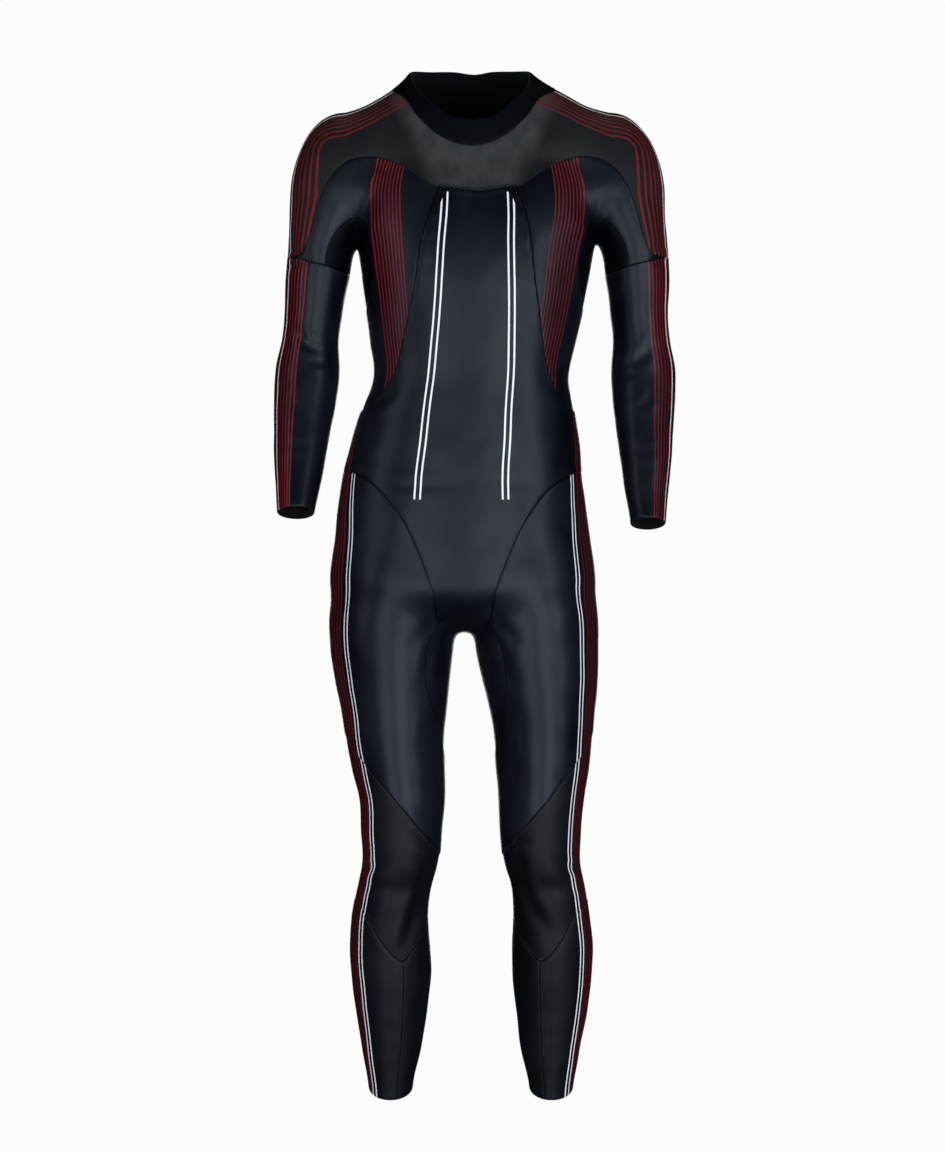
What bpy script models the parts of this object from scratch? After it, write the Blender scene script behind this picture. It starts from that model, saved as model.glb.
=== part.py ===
"""A full-length triathlon wetsuit, open and hollow, filled out as it is when worn.

The suit is cut from foam-rubber panels that are butted edge to edge. Every panel is a wall
of its own thickness that stands on one smooth inner surface, the form of a general standing
figure. That form is a few round tubes, each given by a short table of its sections, melted
together at the shoulders and at the fork. A cage of rings is subdivided and laid on the
form, cut along the seams, and every panel's wall is then raised outwards from its piece.

Metres. +Z is up, the front faces -Y, and the wearer's left is +X. The origin lies between
the shoulders, where the wearer carries the suit.
"""

import math

import bmesh
import bpy
import numpy as np
from mathutils import Matrix, Vector

X_AXIS, Y_AXIS, Z_AXIS = 0, 1, 2
RIGHT, LEFT = -1, 1

# --- The form under the cloth --------------------------------------------------------------

# Trunk, by height: where its widest line runs, and how far it reaches sideways, forwards
# and backwards from there.
TRUNK_SECTIONS = (
    # z,      mid_x,  mid_y, half_width, front, back
    (-0.630, -0.014, 0.008, 0.1735, 0.112, 0.120),
    (-0.575, -0.014, 0.006, 0.1725, 0.112, 0.119),
    (-0.535, -0.015, 0.003, 0.1675, 0.110, 0.111),
    (-0.494, -0.014, 0.000, 0.1615, 0.107, 0.101),
    (-0.452, -0.010, -0.004, 0.1545, 0.103, 0.092),
    (-0.410, -0.007, -0.008, 0.1445, 0.099, 0.087),
    (-0.360, -0.002, -0.008, 0.1325, 0.100, 0.088),
    (-0.306, 0.001, -0.006, 0.1405, 0.107, 0.095),
    (-0.264, 0.003, -0.003, 0.1485, 0.114, 0.103),
    (-0.222, 0.004, 0.000, 0.1555, 0.119, 0.110),
    (-0.180, 0.005, 0.003, 0.1625, 0.120, 0.114),
    (-0.140, 0.007, 0.006, 0.1700, 0.115, 0.113),
    (-0.100, 0.007, 0.010, 0.1700, 0.105, 0.107),
    (-0.065, 0.007, 0.013, 0.1600, 0.092, 0.096),
)
TRUNK_SQUARENESS = 2.3
FORK_CAP = 0.078
CHEST_CAP = 0.070

# Shoulder ridge, from one shoulder to the other.
RIDGE_SECTIONS = (
    # x,     mid_y, mid_z, half_depth, half_height
    (-0.178, 0.010, -0.048, 0.042, 0.048),
    (-0.135, 0.014, -0.026, 0.052, 0.052),
    (-0.095, 0.018, -0.006, 0.060, 0.056),
    (0.004, 0.020, 0.006, 0.070, 0.064),
    (0.100, 0.018, -0.006, 0.060, 0.056),
    (0.143, 0.014, -0.026, 0.052, 0.052),
    (0.190, 0.010, -0.048, 0.042, 0.048),
)
RIDGE_CAP = 0.030

NECK_SECTIONS = (
    # z,    mid_x, mid_y, half_width, front, back
    (0.000, -0.002, 0.014, 0.088, 0.076, 0.078),
    (0.060, -0.005, 0.010, 0.072, 0.070, 0.070),
    (0.140, -0.005, 0.002, 0.068, 0.066, 0.064),
)
NECK_CAP = 0.050

# Arms, by height, with one column of middles for each side.
ARM_SECTIONS = (
    # z,      x_right, x_left, mid_y, half_width, half_depth
    (-0.580, -0.2435, 0.2405, -0.068, 0.0215, 0.026),
    (-0.550, -0.2425, 0.2405, -0.057, 0.0235, 0.028),
    (-0.514, -0.2405, 0.2395, -0.044, 0.0285, 0.031),
    (-0.473, -0.2385, 0.2395, -0.029, 0.0335, 0.036),
    (-0.431, -0.2355, 0.2385, -0.013, 0.0375, 0.041),
    (-0.389, -0.2325, 0.2380, 0.001, 0.0417, 0.044),
    (-0.347, -0.2295, 0.2380, 0.010, 0.0427, 0.044),
    (-0.306, -0.2260, 0.2350, 0.012, 0.0377, 0.044),
    (-0.264, -0.2210, 0.2320, 0.011, 0.0387, 0.047),
    (-0.222, -0.2160, 0.2300, 0.009, 0.0425, 0.050),
    (-0.181, -0.2100, 0.2250, 0.007, 0.0450, 0.053),
    (-0.145, -0.1990, 0.2130, 0.006, 0.0540, 0.056),
    (-0.110, -0.1860, 0.2000, 0.006, 0.0660, 0.058),
)
SHOULDER_CAP = 0.108
WRIST_CAP = 0.020

# Legs, by height, in the same way.
LEG_SECTIONS = (
    # z,      x_right, x_left, mid_y, half_width, half_depth
    (-1.400, -0.1143, 0.1100, 0.036, 0.0240, 0.030),
    (-1.345, -0.1143, 0.1100, 0.035, 0.0280, 0.036),
    (-1.300, -0.1133, 0.1090, 0.033, 0.0370, 0.043),
    (-1.237, -0.1133, 0.1110, 0.030, 0.0470, 0.052),
    (-1.195, -0.1133, 0.1110, 0.027, 0.0520, 0.057),
    (-1.154, -0.1153, 0.1120, 0.024, 0.0530, 0.060),
    (-1.112, -0.1153, 0.1100, 0.017, 0.0505, 0.058),
    (-1.070, -0.1093, 0.1060, 0.008, 0.0485, 0.056),
    (-1.029, -0.1003, 0.0970, 0.001, 0.0500, 0.060),
    (-0.987, -0.0993, 0.0950, -0.001, 0.0530, 0.063),
    (-0.945, -0.0983, 0.0960, -0.001, 0.0560, 0.067),
    (-0.904, -0.1033, 0.0980, 0.001, 0.0610, 0.072),
    (-0.862, -0.1073, 0.0980, 0.003, 0.0650, 0.077),
    (-0.820, -0.1083, 0.0960, 0.005, 0.0700, 0.082),
    (-0.778, -0.1103, 0.0930, 0.007, 0.0770, 0.088),
    (-0.737, -0.1113, 0.0890, 0.009, 0.0820, 0.094),
    (-0.695, -0.1103, 0.0860, 0.010, 0.0850, 0.098),
    (-0.650, -0.1053, 0.0790, 0.010, 0.0850, 0.100),
)
HIP_CAP = 0.100
ANKLE_CAP = 0.020

# How softly each form melts into what it joins.
RIDGE_MELT = 0.050
NECK_MELT = 0.045
ARM_MELT = 0.040
ARMPIT_MELT = 0.013
ARM_MELT_FROM_Z, ARMPIT_MELT_FROM_Z = -0.090, -0.165
FORK_MELT = 0.022

GRADIENT_STEP = 0.0005
LAYING_STEPS = 8


def spline(knots, values, at):
    """A smooth curve through the rows of values at the knots, read at the places given."""
    slopes = np.gradient(values, knots, axis=0)
    i = np.clip(np.searchsorted(knots, at) - 1, 0, len(knots) - 2)
    span = knots[i + 1] - knots[i]
    t = np.clip((at - knots[i]) / span, 0, 1)[:, None]
    span = span[:, None]
    return (
        values[i] * (1 + 2 * t) * (1 - t) ** 2
        + slopes[i] * span * t * (1 - t) ** 2
        + values[i + 1] * t**2 * (3 - 2 * t)
        - slopes[i + 1] * span * t**2 * (1 - t)
    )


class Tube:
    """A round form with oval sections across one axis and rounded ends."""

    def __init__(self, axis, sections, cap_low, cap_high, squareness=2.0):
        table = np.array(sections)
        self.axis = axis
        self.across = [k for k in (X_AXIS, Y_AXIS, Z_AXIS) if k != axis]
        self.knots = table[:, 0]
        self.rows = table[:, 1:]
        self.cap_low, self.cap_high = cap_low, cap_high
        self.squareness = squareness

    def section(self, along):
        """The columns (first middle, second middle, first half, second low, second high)."""
        rows = spline(self.knots, self.rows, along)
        if rows.shape[1] == 4:
            rows = np.column_stack([rows, rows[:, 3]])
        return rows

    def distance(self, points):
        """About how far each point is outside the form, less than 0 inside."""
        along = points[:, self.axis]
        held = np.clip(along, self.knots[0], self.knots[-1])
        beyond = along - held
        middle_a, middle_b, half_a, low_b, high_b = self.section(held).T
        a = points[:, self.across[0]] - middle_a
        b = points[:, self.across[1]] - middle_b
        half_b = np.where(b < 0, low_b, high_b)
        half_end = np.where(beyond < 0, self.cap_low, self.cap_high)
        halves = np.column_stack([half_a, half_b, half_end])
        n = self.squareness
        shares = np.abs(np.column_stack([a, b, beyond])) / halves + 1e-9
        reach = (shares**n).sum(1) ** (1 / n)
        slope = reach ** (1 - n) * np.linalg.norm(shares ** (n - 1) / halves, axis=1)
        return (reach - 1) / slope


def limb(side, sections, cap_low, cap_high):
    """An arm or a leg: its table's rows with the middle column of its own side."""
    x_column = 1 if side == RIGHT else 2
    rows = [(row[0], row[x_column], row[3], row[4], row[5]) for row in sections]
    return Tube(Z_AXIS, rows, cap_low, cap_high)


TRUNK = Tube(Z_AXIS, TRUNK_SECTIONS, FORK_CAP, CHEST_CAP, TRUNK_SQUARENESS)
RIDGE = Tube(X_AXIS, RIDGE_SECTIONS, RIDGE_CAP, RIDGE_CAP)
NECK = Tube(Z_AXIS, NECK_SECTIONS, NECK_CAP, NECK_CAP)
ARMS = {side: limb(side, ARM_SECTIONS, WRIST_CAP, SHOULDER_CAP) for side in (RIGHT, LEFT)}
LEGS = {side: limb(side, LEG_SECTIONS, ANKLE_CAP, HIP_CAP) for side in (RIGHT, LEFT)}


def melt(a, b, radius):
    """The nearer of two forms, with a fillet of about that radius where they meet."""
    near = np.maximum(radius - np.abs(a - b), 0) / radius
    return np.minimum(a, b) - near**2 * radius / 4


def arm_melt(points):
    """The fillet between arm and trunk: wide over the shoulder, tight in the armpit."""
    share = (points[:, 2] - ARMPIT_MELT_FROM_Z) / (ARM_MELT_FROM_Z - ARMPIT_MELT_FROM_Z)
    share = np.clip(share, 0, 1)
    return ARMPIT_MELT + (ARM_MELT - ARMPIT_MELT) * share**2 * (3 - 2 * share)


def figure(points):
    """How far each point is outside the whole form."""
    body = melt(TRUNK.distance(points), RIDGE.distance(points), RIDGE_MELT)
    body = melt(body, NECK.distance(points), NECK_MELT)
    for side in (RIGHT, LEFT):
        body = melt(body, ARMS[side].distance(points), arm_melt(points))
    legs = melt(LEGS[RIGHT].distance(points), LEGS[LEFT].distance(points), FORK_MELT)
    return melt(body, legs, FORK_MELT)


def outward(points):
    """The form's slope at each point, which is its outward normal near the surface."""
    steps = GRADIENT_STEP * np.eye(3)
    return np.column_stack(
        [figure(points + step) - figure(points - step) for step in steps]
    ) / (2 * GRADIENT_STEP)


def lay_on_figure(points):
    """The points moved onto the form's surface."""
    for _ in range(LAYING_STEPS):
        slope = outward(points)
        points = points - slope * (figure(points) / (slope**2).sum(1))[:, None]
    return points


# --- The cage --------------------------------------------------------------------------------

TRUNK_COLUMNS = 16
ARM_COLUMNS = 8
HALF_TRUNK = TRUNK_COLUMNS // 2
SIDE_COLUMN = TRUNK_COLUMNS // 4

TRUNK_PART, ARM_PART, LEG_PART = 0, 1, 2

# Rings of the trunk above the armpits: the height of each at the front, the side and the
# back, and how far it reaches. The arms leave between the third ring and the fifth.
UPPER_MIDDLE = (0.007, 0.010)
UPPER_RINGS = (
    # front_z, side_z, back_z, half_width, front_y, back_y
    (0.040, 0.110, 0.125, 0.068, -0.058, 0.070),
    (-0.040, 0.050, 0.060, 0.090, -0.078, 0.088),
    (-0.085, 0.020, 0.010, 0.140, -0.100, 0.105),
    (-0.125, -0.002, -0.045, 0.176, -0.110, 0.114),
    (-0.160, -0.085, -0.110, 0.180, -0.118, 0.118),
    (-0.195, -0.168, -0.175, 0.172, -0.119, 0.115),
)
ARM_TOP_RING, ARMPIT_RING = 3, 5
LOWER_RING_HEIGHTS = (-0.240, -0.300, -0.360, -0.415, -0.470, -0.530, -0.590, -0.645)
FORK_RING = (-0.692, -0.665, -0.690)

# Rings of an arm around the shoulder, on the wearer's left.
SHOULDER_RINGS = (
    # inner_x, inner_z, outer_x, outer_z, half_depth
    (0.180, -0.184, 0.226, -0.008, 0.056),
    (0.182, -0.203, 0.258, -0.055, 0.056),
    (0.184, -0.224, 0.270, -0.115, 0.055),
    (0.186, -0.246, 0.2715, -0.178, 0.051),
    (0.187, -0.266, 0.272, -0.235, 0.048),
)
ARM_RING_HEIGHTS = (-0.290, -0.335, -0.380, -0.430, -0.480, -0.530, -0.585)
RIGHT_SHOULDER_SHIFT = -0.012

LEG_RING_HEIGHTS = (
    -0.735, -0.795, -0.855, -0.915, -0.970, -1.025, -1.080, -1.140, -1.200, -1.260, -1.320, -1.380
)
FORK_Z = -0.705


def trunk_ring(bm, front_z, side_z, back_z, half_width, front_y, back_y, mid_x, mid_y):
    """One ring of the trunk, from the front centre round by the wearer's left."""
    ring = []
    for column in range(TRUNK_COLUMNS):
        angle = 2 * math.pi * column / TRUNK_COLUMNS
        ahead = math.cos(angle)
        end_z, end_y = (front_z, front_y) if ahead > 0 else (back_z, back_y)
        x = mid_x + half_width * math.sin(angle)
        y = mid_y + (end_y - mid_y) * abs(ahead)
        z = side_z + (end_z - side_z) * ahead**2
        ring.append(bm.verts.new((x, y, z)))
    return ring


def straight_trunk_ring(bm, heights):
    """A ring of the trunk whose reach is its section's, at heights front, side and back."""
    mid_x, mid_y, half_width, front, back = TRUNK.section(np.array([heights[1]]))[0]
    return trunk_ring(bm, *heights, half_width, mid_y - front, mid_y + back, mid_x, mid_y)


def limb_ring(bm, inner, outer, mid_y, half_depth, angles):
    """A ring between an inner and an outer point; angles run outer, back, inner, front."""
    middle = [(a + b) / 2 for a, b in zip(inner, outer)]
    ring = []
    for angle in angles:
        out, behind = math.cos(angle), math.sin(angle)
        x = middle[0] + (outer[0] - middle[0]) * out
        z = middle[1] + (outer[1] - middle[1]) * out
        ring.append(bm.verts.new((x, mid_y + half_depth * behind, z)))
    return ring


def limb_rings(bm, tube, side, heights, angles):
    """Level rings of an arm or a leg, on its own sections."""
    rings = []
    for z in heights:
        mid_x, mid_y, half_width, half_depth, _ = tube.section(np.array([z]))[0]
        inner = (mid_x - side * half_width, z)
        outer = (mid_x + side * half_width, z)
        rings.append(limb_ring(bm, inner, outer, mid_y, half_depth, angles))
    return rings


def bridge(bm, ring_a, ring_b, part_layer, part, skip=()):
    """Faces between two rings of the same count, except in the columns to skip."""
    count = len(ring_a)
    for i in range(count):
        if i in skip:
            continue
        j = (i + 1) % count
        face = bm.faces.new((ring_a[i], ring_b[i], ring_b[j], ring_a[j]))
        face[part_layer] = part


def build_cage():
    """The coarse cage: a trunk, two arms and two legs, tagged with the part each face is of."""
    bm = bmesh.new()
    part_layer = bm.faces.layers.int.new("body_part")
    trunk = [trunk_ring(bm, *row, *UPPER_MIDDLE) for row in UPPER_RINGS]
    trunk += [straight_trunk_ring(bm, (z, z, z)) for z in LOWER_RING_HEIGHTS]
    trunk.append(straight_trunk_ring(bm, FORK_RING))
    arm_columns = {LEFT: SIDE_COLUMN, RIGHT: TRUNK_COLUMNS - SIDE_COLUMN}
    holes = [c + shift for c in arm_columns.values() for shift in (-1, 0)]
    for k in range(len(trunk) - 1):
        skip = holes if ARM_TOP_RING <= k < ARMPIT_RING else ()
        bridge(bm, trunk[k], trunk[k + 1], part_layer, TRUNK_PART, skip)
    for side in (LEFT, RIGHT):
        add_arm(bm, trunk, arm_columns[side], side, part_layer)
    add_legs(bm, trunk[-1], part_layer)
    loose = [v for v in bm.verts if not v.link_faces]
    bmesh.ops.delete(bm, geom=loose, context="VERTS")
    bmesh.ops.recalc_face_normals(bm, faces=bm.faces)
    return bm


def add_arm(bm, trunk, column, side, part_layer):
    """An arm from its hole in the trunk's rings down to beyond the wrist."""
    behind, ahead = column + side, column - side
    path = (
        (ARM_TOP_RING, column), (ARM_TOP_RING, behind), (ARM_TOP_RING + 1, behind),
        (ARMPIT_RING, behind), (ARMPIT_RING, column), (ARMPIT_RING, ahead),
        (ARM_TOP_RING + 1, ahead), (ARM_TOP_RING, ahead),
    )
    rings = [[trunk[row][c] for row, c in path]]
    angles = [2 * math.pi * k / ARM_COLUMNS for k in range(ARM_COLUMNS)]
    shift = RIGHT_SHOULDER_SHIFT if side == RIGHT else 0
    for inner_x, inner_z, outer_x, outer_z, half_depth in SHOULDER_RINGS:
        inner = (side * (inner_x + shift), inner_z)
        outer = (side * (outer_x + shift), outer_z)
        rings.append(limb_ring(bm, inner, outer, 0.006, half_depth, angles))
    rings += limb_rings(bm, ARMS[side], side, ARM_RING_HEIGHTS, angles)
    for ring_a, ring_b in zip(rings, rings[1:]):
        bridge(bm, ring_a, ring_b, part_layer, ARM_PART)


def add_legs(bm, fork_ring, part_layer):
    """Both legs, which share one strand of the cage under the fork."""
    mid_x, mid_y = TRUNK.section(np.array([FORK_Z]))[0][:2]
    under = bm.verts.new((mid_x, mid_y, FORK_Z))
    count = HALF_TRUNK + 2
    for side in (LEFT, RIGHT):
        columns = [(side * k) % TRUNK_COLUMNS for k in range(HALF_TRUNK + 1)]
        top = [fork_ring[c] for c in columns] + [under]
        # The first point is the front centre, a step short of the leg's own front.
        start = math.radians(180) + 2 * math.pi / count
        angles = [start + 2 * math.pi * k / count for k in range(count)]
        rings = [top] + limb_rings(bm, LEGS[side], side, LEG_RING_HEIGHTS, angles)
        for ring_a, ring_b in zip(rings, rings[1:]):
            bridge(bm, ring_a, ring_b, part_layer, LEG_PART)


def smooth_shell(levels):
    """The cage subdivided and laid on the figure, level by level."""
    bm = build_cage()
    for _ in range(levels):
        cage = bpy.data.meshes.new("cage")
        bm.to_mesh(cage)
        bm.free()
        holder = bpy.data.objects.new("cage", cage)
        bpy.context.scene.collection.objects.link(holder)
        subdivision = holder.modifiers.new("subdivision", "SUBSURF")
        subdivision.levels = subdivision.render_levels = 1
        subdivision.boundary_smooth = "ALL"
        bpy.context.view_layer.update()
        finer = bpy.data.meshes.new_from_object(
            holder.evaluated_get(bpy.context.evaluated_depsgraph_get())
        )
        bm = bmesh.new()
        bm.from_mesh(finer)
        bpy.data.objects.remove(holder)
        bpy.data.meshes.remove(cage)
        bpy.data.meshes.remove(finer)
        set_positions(bm, lay_on_figure(positions(bm.verts)))
    return bm


def positions(verts):
    """The verts' places as rows of an array."""
    return np.array([v.co for v in verts])


def set_positions(bm, points):
    """Moves every vert of the mesh to its row of the array."""
    for vert, point in zip(bm.verts, points):
        vert.co = point


# --- Seams -----------------------------------------------------------------------------------

SEAM_SAMPLES = 120
SNAP_SHARE = 0.25
BEND_SHARE = 0.15
SEAM_CLEARANCE = 0.00015
MITRE_LIMIT = 2.0

# The neck's edge and the collar's seam, by how far round the neck: 0 at the front.
NECK_MIDDLE = (-0.001, 0.012)
NECK_EDGE = (
    # around, z
    (0.0, -0.010), (20.0, -0.004), (39.0, 0.018), (57.0, 0.040), (70.0, 0.057),
    (90.0, 0.067), (135.0, 0.076), (180.0, 0.080),
)
COLLAR_SEAM = (
    # around, z
    (0.0, -0.046), (15.0, -0.041), (29.0, -0.029), (44.0, -0.006), (58.0, 0.020),
    (80.0, 0.038), (120.0, 0.046), (180.0, 0.042),
)

# The side seam: how far back it runs, by height.
SIDE_SEAM = (
    # z,     y
    (-1.400, 0.046), (-1.150, 0.036), (-0.950, 0.012), (-0.700, 0.030),
    (-0.500, 0.020), (-0.300, 0.012), (-0.100, 0.030), (0.100, 0.030),
)

# Yoke: its lower seam seen from the front, by distance from the middle line.
YOKE_SEAM = (
    # across, z
    (0.000, -0.110), (0.040, -0.104), (0.060, -0.102), (0.084, -0.083), (0.108, -0.070),
    (0.136, -0.059), (0.166, -0.060), (0.190, -0.074), (0.208, -0.100), (0.220, -0.134),
    (0.228, -0.163), (0.238, -0.186), (0.252, -0.193), (0.300, -0.196),
)

# Seams on the trunk and the limbs, by how far round they are: 0 at the front, 90 at the
# outer side.
FRONT_SIDE_SEAM = (
    # around, z
    (15.0, -0.075), (17.5, -0.109), (22.0, -0.143), (26.0, -0.177), (31.5, -0.244),
    (41.5, -0.322), (53.0, -0.375), (69.0, -0.401), (88.0, -0.408), (125.0, -0.410),
)
GROIN_SEAM = (
    # across, z
    (0.030, -0.740), (0.037, -0.690), (0.041, -0.660), (0.050, -0.632), (0.064, -0.597),
    (0.080, -0.562), (0.098, -0.535), (0.120, -0.511), (0.147, -0.494), (0.185, -0.486),
)
SLEEVE_SEAM = (
    # around, z
    (-180.0, -0.196), (-90.0, -0.216), (-45.0, -0.212), (0.0, -0.203), (45.0, -0.196),
    (90.0, -0.190), (180.0, -0.196),
)
ABOVE_KNEE_SEAM = (
    # around, z
    (-100.0, -1.022), (-63.0, -1.008), (-29.0, -0.982), (5.0, -0.943), (43.0, -0.889),
    (90.0, -0.845), (120.0, -0.835),
)
BELOW_KNEE_SEAM = (
    # around, z
    (-100.0, -1.108), (-68.0, -1.128), (-40.0, -1.148), (-18.0, -1.166), (8.0, -1.142),
    (34.0, -1.106), (60.0, -1.090), (120.0, -1.080),
)
SHIN_SEAM_AROUND = -20.0
GUSSET_HALF_SPREAD = (
    # z,    degrees to each side of the inner line
    (-0.900, 0.0), (-0.880, 8.0), (-0.850, 25.0), (-0.810, 46.0), (-0.764, 55.0),
    (-0.725, 53.0), (-0.700, 47.0), (-0.640, 40.0),
)
UNDERARM_CENTRE = (0.165, 0.010, -0.200)
UNDERARM_HALVES = (0.055, 0.085, 0.074)
WAIST_BACK_Z = -0.408
KNEE_BACK_Z = -1.000

# The cuffs are cut square to the forearms, which reach forwards, and the hems slant.
CUFF_Z = {RIGHT: -0.5455, LEFT: -0.5625}
CUFF_SLOPE = 0.32
HEM_FRONT_Z = -1.3635
HEM_FRONT_Y = -0.002
HEM_SLOPE = 0.35

ZIP_TAPE_HALF = 0.013
ZIP_LOWEST_Z = -0.375
CHAIN_HALF_WIDTH = 0.0032
CHAIN_TOP_Z = 0.040
CHAIN_LOWEST_Z = -0.367
BACK_FROM_Y = 0.025

# Wall thickness of each kind of panel.
THICKNESS = {
    "collar": 0.0022,
    "yoke": 0.0018,
    "underarm": 0.0016,
    "flank": 0.0030,
    "front_body": 0.0048,
    "sleeve": 0.0020,
    "thigh": 0.0044,
    "gusset": 0.0024,
    "knee": 0.0028,
    "shin": 0.0034,
    "back": 0.0026,
    "seat": 0.0034,
    "calf": 0.0034,
    "zip_tape": 0.0014,
}


def middle_x(points):
    """The trunk's middle line at each point's height."""
    return TRUNK.section(points[:, 2])[:, 0]


def around_neck(points):
    """How far round the neck each point is, to either side: 0 at the front."""
    across = np.abs(points[:, 0] - NECK_MIDDLE[0])
    return np.degrees(np.arctan2(across, NECK_MIDDLE[1] - points[:, 1]))


def height_on(table, places):
    """The second column of a table at places in its first, on a smooth curve."""
    knots, values = np.array(table).T
    return spline(knots, values[:, None], np.clip(places, knots[0], knots[-1]))[:, 0]


def around(tube, side, points):
    """How far round a tube each point is: 0 at its front, 90 degrees at its outer side."""
    mid_x, mid_y, half_width, front, back = tube.section(points[:, 2]).T
    y = points[:, 1] - mid_y
    out = side * (points[:, 0] - mid_x) / half_width
    ahead = -y / np.where(y < 0, front, back)
    return np.degrees(np.arctan2(out, ahead))


def beside(table, chart_u, chart_v, u_scale=1.0):
    """How far a point of a flat chart is to the left of a seam drawn there from a table."""
    knots = np.array(table) * (u_scale, 1)
    places = np.arange(len(knots), dtype=float)
    line = spline(places, knots, np.linspace(0, len(knots) - 1, SEAM_SAMPLES))
    start, step = line[:-1], np.diff(line, axis=0)
    rel_u = chart_u[:, None] * u_scale - start[:, 0]
    rel_v = chart_v[:, None] - start[:, 1]
    share = (rel_u * step[:, 0] + rel_v * step[:, 1]) / (step**2).sum(1)
    share[:, 1:] = np.maximum(share[:, 1:], 0)
    share[:, :-1] = np.minimum(share[:, :-1], 1)
    off_u, off_v = rel_u - share * step[:, 0], rel_v - share * step[:, 1]
    away = np.hypot(off_u, off_v)
    nearest = away.argmin(1)
    row = np.arange(len(chart_u))
    turn = step[nearest, 0] * off_v[row, nearest] - step[nearest, 1] * off_u[row, nearest]
    return away[row, nearest] * np.sign(turn)


DEGREE_ON_TRUNK = 0.0026
DEGREE_ON_LIMB = 0.0010


class Pattern:
    """The smooth shell and the cutting of it into named panels."""

    def __init__(self, bm):
        self.bm = bm
        self.part_layer = bm.faces.layers.int["body_part"]
        self.panel_layer = bm.faces.layers.int.new("panel")
        self.names = ["body"]

    def faces_of(self, name, where=None):
        """The faces of a panel, or those of them whose centre and part pass the test."""
        if name not in self.names:
            return []
        index = self.names.index(name)
        faces = [f for f in self.bm.faces if f[self.panel_layer] == index]
        if where is None:
            return faces
        return [f for f in faces if where(f.calc_center_median(), f[self.part_layer])]

    def cut(self, new, parents, field, where=None, snap=True):
        """Cuts panels where the field is 0; the side where it is above 0 gets the new name."""
        faces = [f for name in parents for f in self.faces_of(name, where)]
        verts = list({v for f in faces for v in f.verts})
        values = dict(zip(verts, field(positions(verts))))
        if snap:
            self.snap(values)
        edges = {e for f in faces for e in f.edges}
        for edge in sorted(edges, key=lambda e: e.index):
            a, b = edge.verts
            if values[a] * values[b] < 0:
                share = values[a] / (values[a] - values[b])
                _, fresh = bmesh.utils.edge_split(edge, a, share)
                values[fresh] = 0.0
        for face in faces:
            self.split(face, values)
        self.lay(values)
        if new not in self.names:
            self.names.append(new)
        index = self.names.index(new)
        old = {self.names.index(name) for name in parents}
        touched = {f for v in values for f in v.link_faces}
        for face in touched:
            known = [values.get(v) for v in face.verts]
            if None in known or face[self.panel_layer] not in old:
                continue
            if where and not where(face.calc_center_median(), face[self.part_layer]):
                continue
            if sum(known) > 0:
                face[self.panel_layer] = index
        self.bm.verts.index_update()
        self.bm.edges.index_update()

    def on_seam(self, edge):
        """Whether an edge lies between panels or on the rim."""
        panels = {f[self.panel_layer] for f in edge.link_faces}
        return len(panels) > 1 or len(edge.link_faces) < 2

    def snap(self, values):
        """Moves verts that are nearly on the new seam onto it, along one of their edges.

        A vert of an older seam only slides along that seam; where older seams meet, or the
        new one passes close by without crossing that seam, the new one bends to the vert.
        """
        for vert in sorted(values, key=lambda v: v.index):
            value = values[vert]
            if value == 0:
                continue
            shares = []
            for edge in vert.link_edges:
                other = edge.other_vert(vert)
                if other in values and values[other] * value < 0:
                    share = value / (value - values[other])
                    shares.append((share, edge.index, self.on_seam(edge), other))
            if not shares:
                continue
            held = sum(self.on_seam(e) for e in vert.link_edges)
            slides = [s for s in shares if s[2]] if held else shares
            if slides and held in (0, 2) and min(slides)[0] < SNAP_SHARE:
                share, _, _, other = min(slides)
                vert.co = vert.co.lerp(other.co, share)
                values[vert] = 0.0
            elif held and min(shares)[0] < BEND_SHARE:
                values[vert] = 0.0

    @staticmethod
    def split(face, values):
        """Splits a face between the verts where the seam enters and leaves it."""
        ring = list(face.verts)
        on = [k for k, v in enumerate(ring) if values.get(v) == 0.0]
        for a in on:
            for b in on:
                gap = b - a
                if gap < 2 or gap > len(ring) - 2:
                    continue
                one = sum(values.get(v, 0) for v in ring[a + 1 : b])
                other = sum(values.get(v, 0) for v in ring[b + 1 :] + ring[:a])
                if one * other < 0:
                    bmesh.utils.face_split(face, ring[a], ring[b])
                    return

    @staticmethod
    def lay(values):
        """Lays the verts of the new seam on the figure again."""
        on = [v for v, value in values.items() if value == 0.0]
        if on:
            for vert, point in zip(on, lay_on_figure(positions(on))):
                vert.co = point

    def rename(self, old, new):
        """Gives a panel its final name."""
        self.names[self.names.index(old)] = new

    def drop(self, name):
        """Removes what was cut off."""
        bmesh.ops.delete(self.bm, geom=self.faces_of(name), context="FACES")


def cut_rims(pattern):
    """Opens the neck, the cuffs and the hems."""
    pattern.cut(
        "offcut", ["body"],
        lambda p: p[:, 2] - height_on(NECK_EDGE, around_neck(p)),
        lambda c, part: part == TRUNK_PART and c.z > -0.06 and abs(c.x) < 0.13,
    )
    for side in (RIGHT, LEFT):
        pattern.cut(
            "offcut", ["body"],
            lambda p, s=side: CUFF_Z[s] - CUFF_SLOPE * (p[:, 1] + 0.06) - p[:, 2],
            lambda c, part, s=side: part == ARM_PART and c.x * s > 0,
        )
    pattern.cut(
        "offcut", ["body"],
        lambda p: HEM_FRONT_Z + HEM_SLOPE * (p[:, 1] - HEM_FRONT_Y) - p[:, 2],
        lambda c, part: part == LEG_PART,
    )
    pattern.drop("offcut")


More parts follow.
